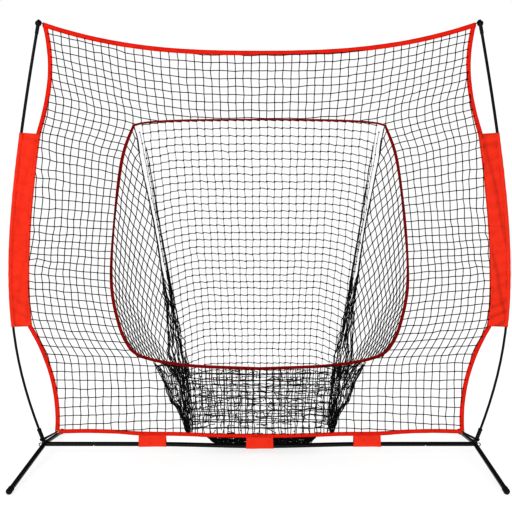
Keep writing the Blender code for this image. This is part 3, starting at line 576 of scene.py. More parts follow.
def coated_steel():
    """Black powder coat: a fine orange-peel skin, with dust and small scuffs."""
    finish = Finish("powder_coated_steel")
    peel = finish.noise(700.0, 2.0)
    cloud = finish.noise(9.0, 5.0, 0.6)
    scuff = finish.ramp(finish.noise(55.0, 8.0, 0.75), ((0.63, (0, 0, 0)), (0.72, (1, 1, 1))))
    colour = finish.blend(cloud, (0.0012, 0.0012, 0.0012), (0.0035, 0.0035, 0.0038))
    colour = finish.blend(finish.math("MULTIPLY", scuff, 0.06), colour, (0.08, 0.08, 0.08))
    rough = finish.math("ADD", finish.span(cloud, 0.26, 0.40), finish.math("MULTIPLY", scuff, 0.18))
    finish.relief(finish.math("ADD", peel, finish.math("MULTIPLY", cloud, 0.6)), 0.00012)
    return finish.use(colour, rough, specular=0.34, Coat_Weight=0.10, Coat_Roughness=0.25)


def pale_button_painted_highlight():
    """Polished steel button, given a pale near-white colour as painted highlight in place of the metal's reflection,
    with random lighter patches.
    """
    finish = Finish("button_painted_highlight")
    cloud = finish.noise(300.0, 4.0)
    # near-white base colour: painted highlight standing in for the polished metal's reflection
    colour = finish.blend(cloud, (0.80, 0.80, 0.79), (0.95, 0.94, 0.92))
    finish.relief(finish.noise(2000.0, 2.0), 0.00004)
    return finish.use(colour, finish.span(cloud, 0.35, 0.55), specular=0.5)


def plated_steel(name, dull, bright):
    """Plated wire or sheet: brushed, with a warm cast and duller patches."""
    finish = Finish(name)
    cloud = finish.noise(120.0, 5.0, 0.6)
    grain = finish.noise(1400.0, 2.0)
    colour = finish.ramp(cloud, ((0.30, dull), (0.70, bright)))
    finish.relief(grain, 0.00008)
    return finish.use(colour, finish.span(cloud, 0.30, 0.50), metallic=0.6)


def gloss_rod():
    """Fibreglass rod under gloss black paint: faint lengthwise fibres."""
    finish = Finish("fibreglass_rod")
    stretch = finish.node("ShaderNodeMapping", Vector=finish.place, Scale=(1.0, 1.0, 0.03)).outputs["Vector"]
    fibre = finish.noise(1600.0, 3.0, vector=stretch)
    cloud = finish.noise(14.0, 4.0)
    colour = finish.blend(fibre, (0.0014, 0.0014, 0.0014), (0.004, 0.004, 0.004))
    colour = finish.blend(finish.math("MULTIPLY", cloud, 0.25), colour, (0.008, 0.008, 0.008))
    finish.relief(fibre, 0.00010)
    return finish.use(colour, finish.span(cloud, 0.22, 0.36), specular=0.36)


def moulded(name, dark, light, rough, grain):
    """Moulded rubber or plastic: a fine grain, and darker in the hollows of its relief as painted shade."""
    finish = Finish(name)
    fine = finish.noise(grain, 4.0, 0.7)
    cloud = finish.noise(30.0, 5.0)
    # darker where the relief is low: painted shade in the hollows
    colour = finish.blend(cloud, dark, light)
    finish.relief(finish.math("ADD", fine, finish.math("MULTIPLY", cloud, 1.5)), 0.00020)
    return finish.use(colour, finish.span(fine, *rough), specular=0.3)


def floor_finish():
    """White paper: partly self-lit, and fading to plain white far from the net, so that no horizon shows."""
    finish = Finish("studio_floor")
    far = finish.node("ShaderNodeVectorMath", {"operation": "LENGTH"})
    finish.feed(far.inputs[0], finish.place)
    fade = finish.node("ShaderNodeMapRange", {"interpolation_type": "SMOOTHSTEP"}, Value=far.outputs["Value"], From_Min=2.0, From_Max=9.0)
    fade = fade.outputs["Result"]
    cloud = finish.noise(0.7, 4.0)
    colour = finish.blend(fade, finish.blend(cloud, (0.195, 0.195, 0.195), (0.205, 0.205, 0.205)), (0.0, 0.0, 0.0))
    finish.relief(finish.noise(60.0, 3.0), 0.0002)
    finish.feed(finish.shader.inputs["Emission Color"], (1.0, 1.0, 1.0, 1.0))
    finish.feed(finish.shader.inputs["Emission Strength"], finish.math("ADD", 0.86, finish.math("MULTIPLY", fade, 0.14)))
    return finish.use(colour, 1.0, specular=0.0)


HEM_CLOTH = woven("red_hem_cloth", (0.93, 0.038, 0.012), (0.76, 0.020, 0.006), 0.0007, 0.00020)
OXFORD = woven("red_oxford_cloth", (1.0, 0.082, 0.036), (0.90, 0.050, 0.020), 0.0009, 0.00025)
TAPE = woven("dark_red_tape", (0.32, 0.0050, 0.0025), (0.21, 0.0025, 0.0012), 0.0008, 0.00020, (0.05, 0.004, 0.003))
# dark red thread, darker than the cloth: real stitches, and along the hems also painted shade for the stitched puckers
THREAD = twisted("red_thread", (0.20, 0.005, 0.002), (0.40, 0.014, 0.007), 0.0012, 2.0, 0.00008)
NET_TWINE = twisted("net_twine", (0.005, 0.005, 0.005), (0.030, 0.030, 0.031), 0.0060, 3.0, 0.00035)
CORD = twisted("braided_cord", (0.005, 0.005, 0.005), (0.028, 0.028, 0.028), 0.0040, 4.0, 0.00030)
STEEL = coated_steel()
PLATED = plated_steel("zinc_plated_steel", (0.42, 0.33, 0.22), (0.72, 0.62, 0.48))
# a darker copy of the plating, used for the stake eyes
DARK_PLATED = plated_steel("dark_plated_steel", (0.016, 0.010, 0.005), (0.10, 0.062, 0.032))
PAINTED_HIGHLIGHT_BUTTON = pale_button_painted_highlight()
ROD = gloss_rod()
RUBBER = moulded("foot_rubber", (0.009, 0.009, 0.009), (0.020, 0.020, 0.020), (0.55, 0.8), 900.0)
PLASTIC = moulded("cap_plastic", (0.007, 0.007, 0.007), (0.015, 0.015, 0.015), (0.35, 0.55), 500.0)

BY_SLOT = {
    "black_steel": STEEL,
    "bright_steel": PLATED,
    "fibreglass": ROD,
    "rubber": RUBBER,
    "black_plastic": PLASTIC,
}


def dress_frame():
    """The hard CAD parts keep their shape and take a finish. Their round faces are shaded smooth."""
    for part in frame["record"]["subparts"]:
        finish = BY_SLOT.get(part["material_slot"])
        if not finish:
            continue
        if part["node"].startswith("snap_button"):
            finish = PAINTED_HIGHLIGHT_BUTTON
        if part["node"].startswith("stake_eye"):
            finish = DARK_PLATED
        node = frame["nodes"][part["node"]]
        mesh = node.data
        mesh.materials.clear()
        mesh.materials.append(finish)
        mesh.polygons.foreach_set("material_index", np.zeros(len(mesh.polygons), np.int32))
        custom = mesh.attributes.get("custom_normal")
        if custom:
            mesh.attributes.remove(custom)
        mesh.shade_smooth()
        weld = node.modifiers.new("weld", "WELD")
        weld.merge_threshold = 0.00001
        split = node.modifiers.new("split", "EDGE_SPLIT")
        split.split_angle = math.radians(42)


# Net, in front


SIDE_COLUMN = 16
SIDE_LINE = by_height((
    (2.14, 0.660), (2.00, 0.650), (1.88, 0.640), (1.75, 0.625), (1.66, 0.613), (1.56, 0.637), (1.464, 0.6695),
    (1.30, 0.693), (1.13, 0.7154), (0.95, 0.728), (0.852, 0.7295), (0.75, 0.716), (0.65, 0.694), (0.56, 0.655),
    (0.48, 0.602), (0.38, 0.591), (0.25, 0.588), (0.05, 0.590),
))
SIDE_CELL = by_height((
    (2.20, 0.0385), (1.80, 0.0380), (1.60, 0.0365), (1.46, 0.0350), (1.20, 0.0325), (1.00, 0.0330), (0.755, 0.0350),
    (0.45, 0.0375), (0.05, 0.0385),
))
ROW_SLOPE = by_height((
    (2.20, 0.215), (1.95, 0.235), (1.70, 0.255), (1.45, 0.235), (1.25, 0.120), (1.12, 0.050), (0.85, 0.095),
    (0.65, 0.085), (0.50, 0.045), (0.35, 0.0), (0.22, -0.045), (0.05, -0.060),
))


def front_grid():
    """Knots of the front net before it is cut to its hems: columns follow the zone's sides, rows sag between corners."""
    columns = np.arange(-33, 34)
    row_step = lambda v: 0.0372 + 0.0052 * smoothstep(0.55, 0.20, v)
    heights = [2.20]
    while heights[-1] > 0.02:
        heights.append(heights[-1] - row_step(heights[-1]))
    v, k = np.meshgrid(np.array(heights), columns, indexing="ij")
    share = np.abs(k) / SIDE_COLUMN
    inner = share * SIDE_LINE(v) * (0.955 + 0.045 * np.minimum(share, 1.0) ** 2)
    outer = SIDE_LINE(v) + (np.abs(k) - SIDE_COLUMN) * SIDE_CELL(v)
    x = np.sign(k) * np.where(share <= 1, inner, outer)
    reach = np.abs(x)
    bend = np.where(reach < 0.62, 0.5 * (reach / 0.62) ** 3.2 * 0.40, 0.20 + (reach - 0.62))
    bend = np.where(reach < 0.62, 0.20 * (reach / 0.62) ** 3.0, bend)
    z = v + ROW_SLOPE(v) * (bend - 0.20)
    flat = np.stack((x, z), axis=-1)
    slack = 1 + 1.6 * smoothstep(0.93, 1.10, reach) * smoothstep(0.70, 0.90, v) * smoothstep(1.55, 1.35, v)
    x = x + slack * 0.0018 * ripple(flat, 0.055, 1) + RANDOM.normal(0, 0.0009, x.shape)
    z = z + slack * 0.0020 * ripple(flat, 0.060, 2) + RANDOM.normal(0, 0.0009, x.shape)
    y = PLANE_Y + 0.0020 * ripple(flat, 0.16, 3)
    return np.stack((x, y, z), axis=-1)


def net_outline():
    """The front net's outer edge, a little under the hems."""
    tuck = 0.004
    xs = np.linspace(0, CORNER_X - 0.006, 60)
    top = np.column_stack((xs, top_hem_height(xs) - HEM_WIDTH / 2 + tuck))
    side = NET_SIDE[1:-1] - (tuck, 0)
    side = side[side[:, 1] < top[-1, 1] - 0.004]
    low = np.column_stack((xs[::-1], bottom_hem_height(xs[::-1]) + tuck))
    side = side[side[:, 1] > low[0, 1] + 0.004]
    low = low[low[:, 0] < side[-1, 0] - 0.001]
    return mirrored(np.concatenate((top, side, low)))


def cut_edges(starts, ends, kept):
    """For edges with one end inside: the inner ends, and the points where they leave."""
    if not len(starts):
        return starts, ends
    inner, outer = starts.copy(), ends.copy()
    low, high = np.zeros(len(starts)), np.ones(len(starts))
    for _ in range(12):
        middle_share = (low + high) / 2
        probe = inner + (outer - inner) * middle_share[:, None]
        stays = kept(probe[:, (0, 2)])
        low = np.where(stays, middle_share, low)
        high = np.where(stays, high, middle_share)
    return inner, inner + (outer - inner) * low[:, None]


def front_net():
    outline = net_outline()
    grid = front_grid()
    kept = lambda p: inside(outline, p) & ~inside(ZONE, p)
    keep = kept(grid[..., (0, 2)])
    halves = {"left": Shape(), "right": Shape()}
    for name, side in SIDES:
        shape = halves[name]
        for starts, ends, first, second in (
            (grid[:, :-1], grid[:, 1:], keep[:, :-1], keep[:, 1:]),
            (grid[:-1], grid[1:], keep[:-1], keep[1:]),
        ):
            on_side = (starts[..., 0] + ends[..., 0]) * side > -1e-9 if side > 0 else starts[..., 0] + ends[..., 0] < -1e-9
            both = first & second & on_side
            add_edges(shape, starts[both], ends[both])
            for a, b, mask in ((starts, ends, first & ~second), (ends, starts, second & ~first)):
                mask = mask & on_side
                add_edges(shape, *cut_edges(a[mask], b[mask], kept))
        knots = grid[keep]
        knots = knots[knots[:, 0] >= 0] if side > 0 else knots[knots[:, 0] < 0]
        add_knots(shape, knots)
    piece("front_net_mesh_left", halves["left"], NET_TWINE, ("front_net",))
    piece("front_net_mesh_right", halves["right"], NET_TWINE, ("front_net",))


# Net pocket


FOLD_OUTER = by_height((
    (1.66, 0.616), (1.625, 0.610), (1.59, 0.601), (1.54, 0.595), (1.464, 0.588), (1.13, 0.533), (0.93, 0.511),
    (0.70, 0.492), (0.52, 0.487), (0.44, 0.490), (0.30, 0.440), (0.10, 0.372),
))
FOLD_INNER = by_height((
    (1.66, 0.574), (1.464, 0.5475), (1.13, 0.507), (0.93, 0.480), (0.75, 0.456), (0.634, 0.437), (0.52, 0.412),
    (0.42, 0.392), (0.30, 0.372), (0.10, 0.350),
))
BACK_DEPTH = by_height((
    (1.68, 0.004), (1.640, 0.012), (1.464, 0.060), (1.130, 0.150), (0.852, 0.228), (0.650, 0.275), (0.500, 0.286),
    (0.430, 0.284), (0.200, 0.248), (0.075, 0.195),
))
FOLD_DROP = by_height((
    (1.66, 0.004), (1.60, 0.014), (1.45, 0.030), (1.10, 0.048), (0.85, 0.060), (0.60, 0.065), (0.40, 0.035),
    (0.08, 0.010),
))
SIDE_DROP = by_height((
    (1.66, 0.020), (1.60, 0.055), (1.51, 0.105), (1.37, 0.200), (1.25, 0.305), (1.13, 0.410), (1.00, 0.480),
    (0.85, 0.530), (0.70, 0.490), (0.498, 0.400),
))
SILHOUETTE = by_height((
    (0.50, 0.540), (0.45, 0.521), (0.37, 0.480), (0.265, 0.445), (0.235, 0.418), (0.15, 0.380), (0.04, 0.352),
))
BUNDLE_EDGE = by_height(((0.50, 0.376), (0.45, 0.372), (0.25, 0.356), (0.07, 0.340)))
BACK_CELL = by_height(((1.68, 0.0382), (1.10, 0.0362), (0.60, 0.0334), (0.05, 0.0318)))
BACK_COLUMNS = 15


def back_wall():
    """The pocket's back: it leans away from the top tape, sags between its folds and comes forward near the floor."""
    heights = np.concatenate(([0.0], np.cumsum(np.full(43, 0.0368))))
    half = np.arange(-BACK_COLUMNS, BACK_COLUMNS + 1)
    fall, k = np.meshgrid(heights, half, indexing="ij")
    reach = np.abs(k) / BACK_COLUMNS
    level = 1.655 - fall
    limit = FOLD_INNER(level) + 0.004
    free = BACK_CELL(level) * np.abs(k)
    soft = 0.010 + 0.016 * smoothstep(1.5, 0.8, level)
    over = np.maximum(free - (limit - soft), 0)
    x = np.where(over > 0, limit - soft * np.exp(-over / soft), free)
    share = x / limit
    z = level - FOLD_DROP(level) * np.maximum((share - 0.60) / 0.40, 0) ** 1.8
    crown = zone_top_height(x) - 0.003
    z = z + (crown - 1.655) * smoothstep(1.30, 1.655, level)
    y = BACK_DEPTH(z) - 0.020 * smoothstep(0.55, 1.0, share) * smoothstep(1.6, 1.1, level)
    x = x * np.sign(k)
    flat = np.stack((x, z), axis=-1)
    calm = smoothstep(0.0, 0.05, fall)
    x = x + calm * (0.0022 * ripple(flat, 0.05, 11) + RANDOM.normal(0, 0.0008, x.shape))
    z = z + calm * (0.0022 * ripple(flat, 0.05, 12) + RANDOM.normal(0, 0.0008, x.shape))
    y = y + calm * 0.0045 * ripple(flat, 0.12, 13)
    keep = z > 0.075
    return np.stack((x, PLANE_Y + y, z), axis=-1), keep


def side_wall(side):
    """Mesh from the tape back to the fold. Its rows hang steeply, and its columns run beside the tape."""
    edge = ZONE_EDGE
    steps = np.concatenate(([0], np.cumsum(np.linalg.norm(np.diff(edge, axis=0), axis=1))))
    count = int(steps[-1] / 0.0385)
    marks = (np.arange(count) + 0.6) * steps[-1] / count
    xs, zs = np.interp(marks, steps, edge[:, 0]), np.interp(marks, steps, edge[:, 1])
    fold_z = zs - SIDE_DROP(zs)
    start = np.column_stack((xs, np.full(count, 0.004), zs))
    end = np.column_stack((FOLD_OUTER(fold_z), BACK_DEPTH(fold_z) * 0.90, fold_z))
    lengths = np.linalg.norm(end - start, axis=1)
    most = int(lengths.max() / CELL) + 2
    grid = np.full((count, most, 3), np.nan)
    keep = np.zeros((count, most), bool)
    for j in range(count):
        number = max(int(round(lengths[j] / CELL)), 1)
        t = np.minimum(np.arange(most) * CELL / lengths[j], 1.0)
        t = np.where(np.arange(most) >= number, 1.0, t)[:, None]
        grid[j] = start[j] + (end[j] - start[j]) * t + 4 * t * (1 - t) * (0.004, 0.0, -0.003)
        keep[j, : number + 1] = True
    sight = 0.20
    rim = zone_bottom_height(grid[..., 0]) - 0.004 - sight * grid[..., 1]
    for j in range(count):
        below = np.flatnonzero(keep[j] & (grid[j, :, 2] < rim[j]))
        if len(below) and below[0] > 0 and grid[j, below[0], 0] > SILHOUETTE(0.50) + 0.004:
            k = below[0]
            over = grid[j, k - 1, 2] - rim[j, k - 1]
            under = rim[j, k] - grid[j, k, 2]
            grid[j, k] = grid[j, k - 1] + (grid[j, k] - grid[j, k - 1]) * over / (over + under)
            grid[j, k + 1 :] = grid[j, k]
            keep[j, k + 1 :] = False
    rim = zone_bottom_height(grid[..., 0]) - sight * grid[..., 1]
    share = 0.75 * RANDOM.random((count, 1))
    brim = SILHOUETTE(grid[..., 2])
    crumple = share * smoothstep(rim - 0.004, rim - 0.050, grid[..., 2])
    over = np.maximum(grid[..., 0] - brim + crumple * (brim - BUNDLE_EDGE(grid[..., 2])), 0)
    grid[..., 0] -= over * smoothstep(rim - 0.001, rim - 0.030, grid[..., 2])
    flat = grid[..., (0, 2)]
    grid[..., 0] += 0.0020 * ripple(flat, 0.06, 21)
    grid[..., 2] += 0.0022 * ripple(flat, 0.06, 22)
    grid[..., 1] += 0.0040 * ripple(flat, 0.10, 23)
    grid[..., 1] += PLANE_Y
    grid[..., 0] *= side
    return grid, keep


def gathers(side, shape):
    """The pleat along each back corner: cords bunch at its two edges near the top, and spread into a dense fold."""
    heights = np.arange(1.640, 0.30, -0.0375)
    bundles = np.array((0.0, 0.015, 0.03, 0.0, 0.04, 0.02, 0.06, 0.94, 0.98, 1.0, 0.96, 1.0, 0.97, 1.0))
    begins = np.array((1.70, 1.44, 1.30, 1.18, 1.10, 1.22, 1.02, 1.36, 1.26, 1.54, 1.12, 1.20, 1.06, 1.00))
    spread = np.linspace(0, 1, len(bundles))
    for layer in range(2):
        z, m = np.meshgrid(heights, np.arange(len(bundles)), indexing="ij")
        loose = (0.74, 0.56)[layer]
        ease = smoothstep(0.98, loose, z)
        u = bundles[m] * (1 - ease) + spread[m] * ease
        z = np.minimum(z + RANDOM.normal(0, 0.006, z.shape), 1.628)
        x = FOLD_OUTER(z) + (FOLD_INNER(z) - FOLD_OUTER(z)) * u
        x = x + RANDOM.normal(0, 0.0010, z.shape) + ease * RANDOM.normal(0, 0.0045, z.shape)
        y = BACK_DEPTH(z) * (0.90 + 0.10 * u) + ease * RANDOM.normal(0, 0.010, z.shape) - 0.004
        y = np.maximum(y, 0.004)
        grid = np.stack((x * side, PLANE_Y + y, z), axis=-1)
        held = ((m % 3 > 0) | (z > 0.95)) & (z < begins[m] - 0.06 * layer)
        ties = held[:-1] & held[1:]
        add_edges(shape, grid[:-1][ties], grid[1:][ties], wander=0.0008)
        dense = z < 0.88
        rows = dense[:, :-1] & dense[:, 1:] & (RANDOM.random((len(heights), len(bundles) - 1)) < 0.30)
        slant = np.roll(grid, -1, axis=0)
        add_edges(shape, grid[:-1, :-1][rows[:-1]], slant[:-1, 1:][rows[:-1]], stations=3)
        add_knots(shape, grid[held & (RANDOM.random(z.shape) < 0.45)])
    # a lone column of knots hangs between the two edges
    z = np.arange(1.60, 0.95, -0.0540)
    x = FOLD_OUTER(z) * 0.45 + FOLD_INNER(z) * 0.55 + RANDOM.normal(0, 0.002, len(z))
    line = np.column_stack((x * side, PLANE_Y + BACK_DEPTH(z) * 0.95, z))
    add_knots(shape, line)
    add_edges(shape, line[:-1], line[1:], radius=TWINE * 0.5)


def wedge(side, shape):
    """The outer corner of the bag below the tape. Its mesh crumples into a dark bundle that narrows to the floor."""
    for layer in range(2):
        depth = 0.014 + 0.034 * layer
        heights = np.arange(0.452 - 0.010 * layer, 0.086 - 0.3 * depth, -0.0310)
        z, m = np.meshgrid(heights, np.linspace(0, 1, 9), indexing="ij")
        edge = BUNDLE_EDGE(z)
        x = edge + (SILHOUETTE(z) - edge) * m ** np.interp(z, (0.10, 0.30), (0.55, 1.4))
        top = z > 0.42
        jitter = np.interp(z, (0.07, 0.4), (0.35, 1.0)) * (1 - 0.75 * m**2)
        x = x + np.where(top, 0, 1) * RANDOM.normal(0, 0.0060, z.shape) * jitter
        z = z + RANDOM.normal(0, 0.0080, z.shape)
        z = np.clip(z, 0.099 - 0.3 * depth, zone_bottom_height(x) + 0.004)
        y = depth + RANDOM.normal(0, 0.008, z.shape)
        grid = np.stack((x * side, PLANE_Y + np.maximum(y, 0.006), z), axis=-1)
        add_edges(shape, grid[:-1].reshape(-1, 3), grid[1:].reshape(-1, 3), wander=0.0025, stations=5)
        rows = RANDOM.random((len(heights), 8)) < 0.6
        add_edges(shape, grid[:, :-1][rows], grid[:, 1:][rows], wander=0.0028, stations=5)
        add_knots(shape, grid[RANDOM.random(z.shape) < 0.8])
    # the outermost cords run together along the outline
    for strand in range(4):
        z = np.linspace(0.466 - 0.012 * strand, 0.094, 26)
        x = SILHOUETTE(z) - 0.0035 * strand + 0.0022 * ripple(np.column_stack((z, z * 0 + strand)), 0.03, 91)
        y = 0.010 + 0.006 * strand
        path = np.column_stack((x * side, np.full(len(z), PLANE_Y + y), z))
        add_tubes(shape, path[None], TWINE)


def pocket_corner(side, shape):
    """The pocket's bottom corner: a sling from the tape's foot back to the fold, and the bag's side under it."""
    deep = np.arange(0.010, 0.262, 0.0360)
    y, k = np.meshgrid(deep, np.arange(5), indexing="ij")
    outer = 0.596 - 0.106 * (y / 0.257)
    x = outer + (0.462 - outer) * k / 4
    z = zone_bottom_height(x) - 0.20 * y - 0.003
    grid = np.stack((x * side, PLANE_Y + y, z), axis=-1)
    add_mesh_sheet(shape, grid, size=KNOT * 0.8)
    z, t = np.meshgrid(np.arange(0.432, 0.10, -0.0370), np.linspace(0, 1, 8), indexing="ij")
    back = BACK_DEPTH(z) - 0.006
    x = (BUNDLE_EDGE(z) + 0.030) * (1 - t) + FOLD_INNER(z) * t + 0.018 * np.sin(math.pi * t) * smoothstep(0.10, 0.30, z)
    y = 0.022 + (back - 0.022) * t
    flat = np.stack((y, z), axis=-1)
    x = x + 0.003 * ripple(flat, 0.06, 81) + RANDOM.normal(0, 0.0015, z.shape)
    drop = z - 0.12 * y * smoothstep(0.10, 0.40, z)
    add_mesh_sheet(shape, np.stack((x * side, PLANE_Y + y, drop + RANDOM.normal(0, 0.002, z.shape)), axis=-1), size=KNOT * 0.8)


def bag_front():
    """Front of the bag, hung from the tape's bottom edge."""
    columns = np.arange(-11, 12) / 11
    heights = np.arange(0.0, 0.375, 0.0318)
    fall, share = np.meshgrid(heights, columns, indexing="ij")
    xs = share * (0.372 - 0.032 * smoothstep(0.0, 0.36, fall))
    rim = zone_bottom_height(xs) - 0.004
    zs = rim - fall * (rim - 0.070) / 0.370
    ys = 0.004 + 0.034 * smoothstep(0.0, 0.12, fall)
    flat = np.stack((xs, zs), axis=-1)
    calm = smoothstep(0.0, 0.05, fall)
    xs = xs + calm * (0.0040 * ripple(flat, 0.05, 31) + RANDOM.normal(0, 0.0022, xs.shape))
    zs = zs + calm * (0.0025 * ripple(flat, 0.05, 32) + RANDOM.normal(0, 0.0010, xs.shape))
    ys = ys + calm * 0.004 * ripple(flat, 0.08, 33)
    return np.stack((xs, PLANE_Y + ys, zs), axis=-1)


def loose_layer(half_width, top, bottom, depth, cell, seed, wobble):
    """Slack netting inside the bag."""
    heights = np.arange(top, bottom, -cell)
    z, x = np.meshgrid(heights, np.arange(-half_width, half_width + cell / 2, cell), indexing="ij")
    flat = np.stack((x, z), axis=-1)
    return np.stack((
        x + wobble * ripple(flat, 0.045, seed) + RANDOM.normal(0, 0.0045, x.shape),
        PLANE_Y + depth + 0.02 * ripple(flat, 0.09, seed + 1),
        z + wobble * ripple(flat, 0.045, seed + 2) + RANDOM.normal(0, 0.0045, x.shape),
    ), axis=-1)


def floor_heap(shape):
    """The bag's surplus gathers in a low heap of folds behind the rail. It tapers off to the sides."""
    for layer in range(6):
        depth = 0.030 + 0.020 * layer
        crest, foot = 0.101 - 0.30 * depth, 0.052 - 0.30 * depth
        z, x = np.meshgrid(np.linspace(0, 1, 7), np.arange(-0.262, 0.29, 0.0120), indexing="ij")
        flat = np.stack((x, z + layer), axis=-1)
        taper = smoothstep(-0.268, -0.215, x) * smoothstep(0.292, 0.24, x)
        z = crest - (crest - foot) * z * (0.25 + 0.75 * taper) + RANDOM.normal(0, 0.0022, z.shape)
        grid = np.stack((
            x + 0.006 * ripple(flat, 0.03, 61 + layer) + RANDOM.normal(0, 0.0015, x.shape),
            PLANE_Y + depth + 0.008 * ripple(flat, 0.03, 71 + layer),
            np.clip(z, 0.006, crest + 0.001),
        ), axis=-1)
        add_mesh_sheet(shape, grid, knots=False, radius=TWINE * 0.8, stations=3)


def add_stepped_rows(shape, grid, keep):
    """Back wall mesh: each row strand leaves a knot at its top and reaches the next at its foot."""
    rows = keep[:, :-1] & keep[:, 1:]
    columns = keep[:-1] & keep[1:]
    step = np.array((0.0, 0.0, 0.0024))
    add_edges(shape, grid[:, :-1][rows] + step, grid[:, 1:][rows] - step, TWINE * 0.88)
    add_edges(shape, grid[:-1][columns], grid[1:][columns], TWINE * 0.56)
    add_knots(shape, grid[keep], KNOT * 1.14)


def pocket():
    back = Shape()
    grid, keep = back_wall()
    add_stepped_rows(back, grid, keep)
    piece("pocket_back_mesh", back, NET_TWINE, ("pocket_net",))
    for name, side in SIDES:
        shape = Shape()
        grid, keep = side_wall(side)
        add_mesh_sheet(shape, grid, keep)
        piece(f"pocket_side_mesh_{name}", shape, NET_TWINE, ("pocket_net",))
        shape = Shape()
        gathers(side, shape)
        piece(f"pocket_gather_{name}", shape, NET_TWINE, ("pocket_net",))
        shape = Shape()
        wedge(side, shape)
        piece(f"pocket_corner_bundle_{name}", shape, NET_TWINE, ("pocket_net",))
        shape = Shape()
        pocket_corner(side, shape)
        piece(f"pocket_corner_mesh_{name}", shape, NET_TWINE, ("pocket_net",))
    bag = Shape()
    grid = bag_front()
    add_mesh_sheet(bag, grid)
    doubled = grid + (0, 0.0015, 0.0026)
    twice = RANDOM.random((doubled.shape[0], doubled.shape[1] - 1)) < 0.35
    add_edges(bag, doubled[:, :-1][twice], doubled[:, 1:][twice])
    piece("pocket_bag_mesh", bag, NET_TWINE, ("pocket_net",))
    slack = Shape()
    for depth, cell, seed in ((0.085, 0.0345, 41), (0.150, 0.0370, 51)):
        grid = loose_layer(0.335, 0.424 - 0.3 * depth, 0.085, depth, cell, seed, 0.010)
        rows = RANDOM.random((grid.shape[0], grid.shape[1] - 1)) < 0.34
        columns = RANDOM.random((grid.shape[0] - 1, grid.shape[1])) < 0.33
        add_edges(slack, grid[:, :-1][rows], grid[:, 1:][rows], wander=0.0035, stations=6, radius=TWINE * 0.9)
        add_edges(slack, grid[:-1][columns], grid[1:][columns], wander=0.0035, stations=6, radius=TWINE * 0.9)
        add_knots(slack, grid[RANDOM.random(grid.shape[:2]) < 0.7])
    piece("pocket_slack_mesh", slack, NET_TWINE, ("pocket_net",))
    heap = Shape()
    floor_heap(heap)
    piece("pocket_floor_heap", heap, NET_TWINE, ("pocket_net",))


# Red cloth


def path_frame(path):
    """Tangent and in-plane normal of a run of (x, z) points."""
    tangent = unit(np.gradient(path, axis=0))
    return tangent, np.column_stack((-tangent[:, 1], tangent[:, 0]))


def even(path, step):
    """The run of points again, at even steps."""
    steps = np.concatenate(([0], np.cumsum(np.linalg.norm(np.diff(path, axis=0), axis=1))))
    marks = np.linspace(0, steps[-1], max(int(steps[-1] / step), 2) + 1)
    return np.column_stack([np.interp(marks, steps, path[:, k]) for k in range(path.shape[1])])


# One side of a hem's section, from the open edge round the fold: (across, out) in parts of the width, and millimetres
HEM_SECTION = (
    (-0.500, 0.75), (-0.455, 1.30), (-0.405, 1.15), (-0.370, 0.72), (-0.335, 1.10), (-0.24, 1.42), (-0.12, 1.50),
    (0.00, 1.42), (0.12, 1.50), (0.24, 1.40), (0.335, 1.10), (0.370, 0.72), (0.405, 1.18), (0.450, 1.25), (0.487, 0.90),
    (0.500, 0.0),
)
STITCH_LINES = (-0.370, 0.370)


def folded_hem(name, path, width, replaces, seed, threads, lift=0.0, step=0.007, pucker=0.0006, reach=9.0):
    """A strip of cloth folded over the net's edge and sewn down along both sides. The fold is on the side its normal points to."""
    path = even(path, step)
    _, normal = path_frame(path)
    front = np.array(HEM_SECTION) * (width, 0.001)
    section = np.concatenate((front, front[:-1][::-1] * (1, -1)))
    count = len(path)
    flat = np.column_stack((path[:, 0], path[:, 1]))
    swell = ripple(flat, 0.016, seed)
    drift = ripple(flat, 0.08, seed + 1)
    widen = 1 + 0.022 * ripple(flat, 0.05, seed + 2)
    grid = np.empty((count, len(section), 3))
    for k, (across, out) in enumerate(section):
        bulge = pucker * np.sin(flat @ (90.0, 70.0) * 6 + k * 1.7) * (0.3 if abs(across) > 0.3 * width else 1.0)
        grid[:, k, 0] = np.clip(path[:, 0] + normal[:, 0] * across * widen, -reach, reach)
        grid[:, k, 2] = path[:, 1] + normal[:, 1] * across * widen
        sign = 1.0 if out >= 0 else -1.0
        grid[:, k, 1] = PLANE_Y + lift - out - sign * pucker * 0.6 * swell + 0.0012 * drift - sign * bulge * 0.35
    shape = Shape()
    hollow = np.exp(-(((np.abs(section[:, 0] / width) - 0.370) / 0.060) ** 2))
    rim = smoothstep(0.44, 0.50, np.abs(section[:, 0] / width))
    shade = 0.20 * hollow[None] + 0.22 * rim[None] + 0.10 * np.maximum(swell, 0)[:, None]
    add_sheet(shape, grid, 0.0007, np.clip(shade, 0, 1))
    made = piece(name, shape, HEM_CLOTH, replaces)
    for across in STITCH_LINES:
        for facing in (-1.0, 1.0):
            seam = np.column_stack((
                path[:, 0] + normal[:, 0] * across * width * widen,
                PLANE_Y + lift + facing * 0.00115 + 0.0012 * drift,
                path[:, 1] + normal[:, 1] * across * width * widen,
            ))
            add_stitches(threads, seam, np.tile((0.0, facing, 0.0), (count, 1)))
    return made


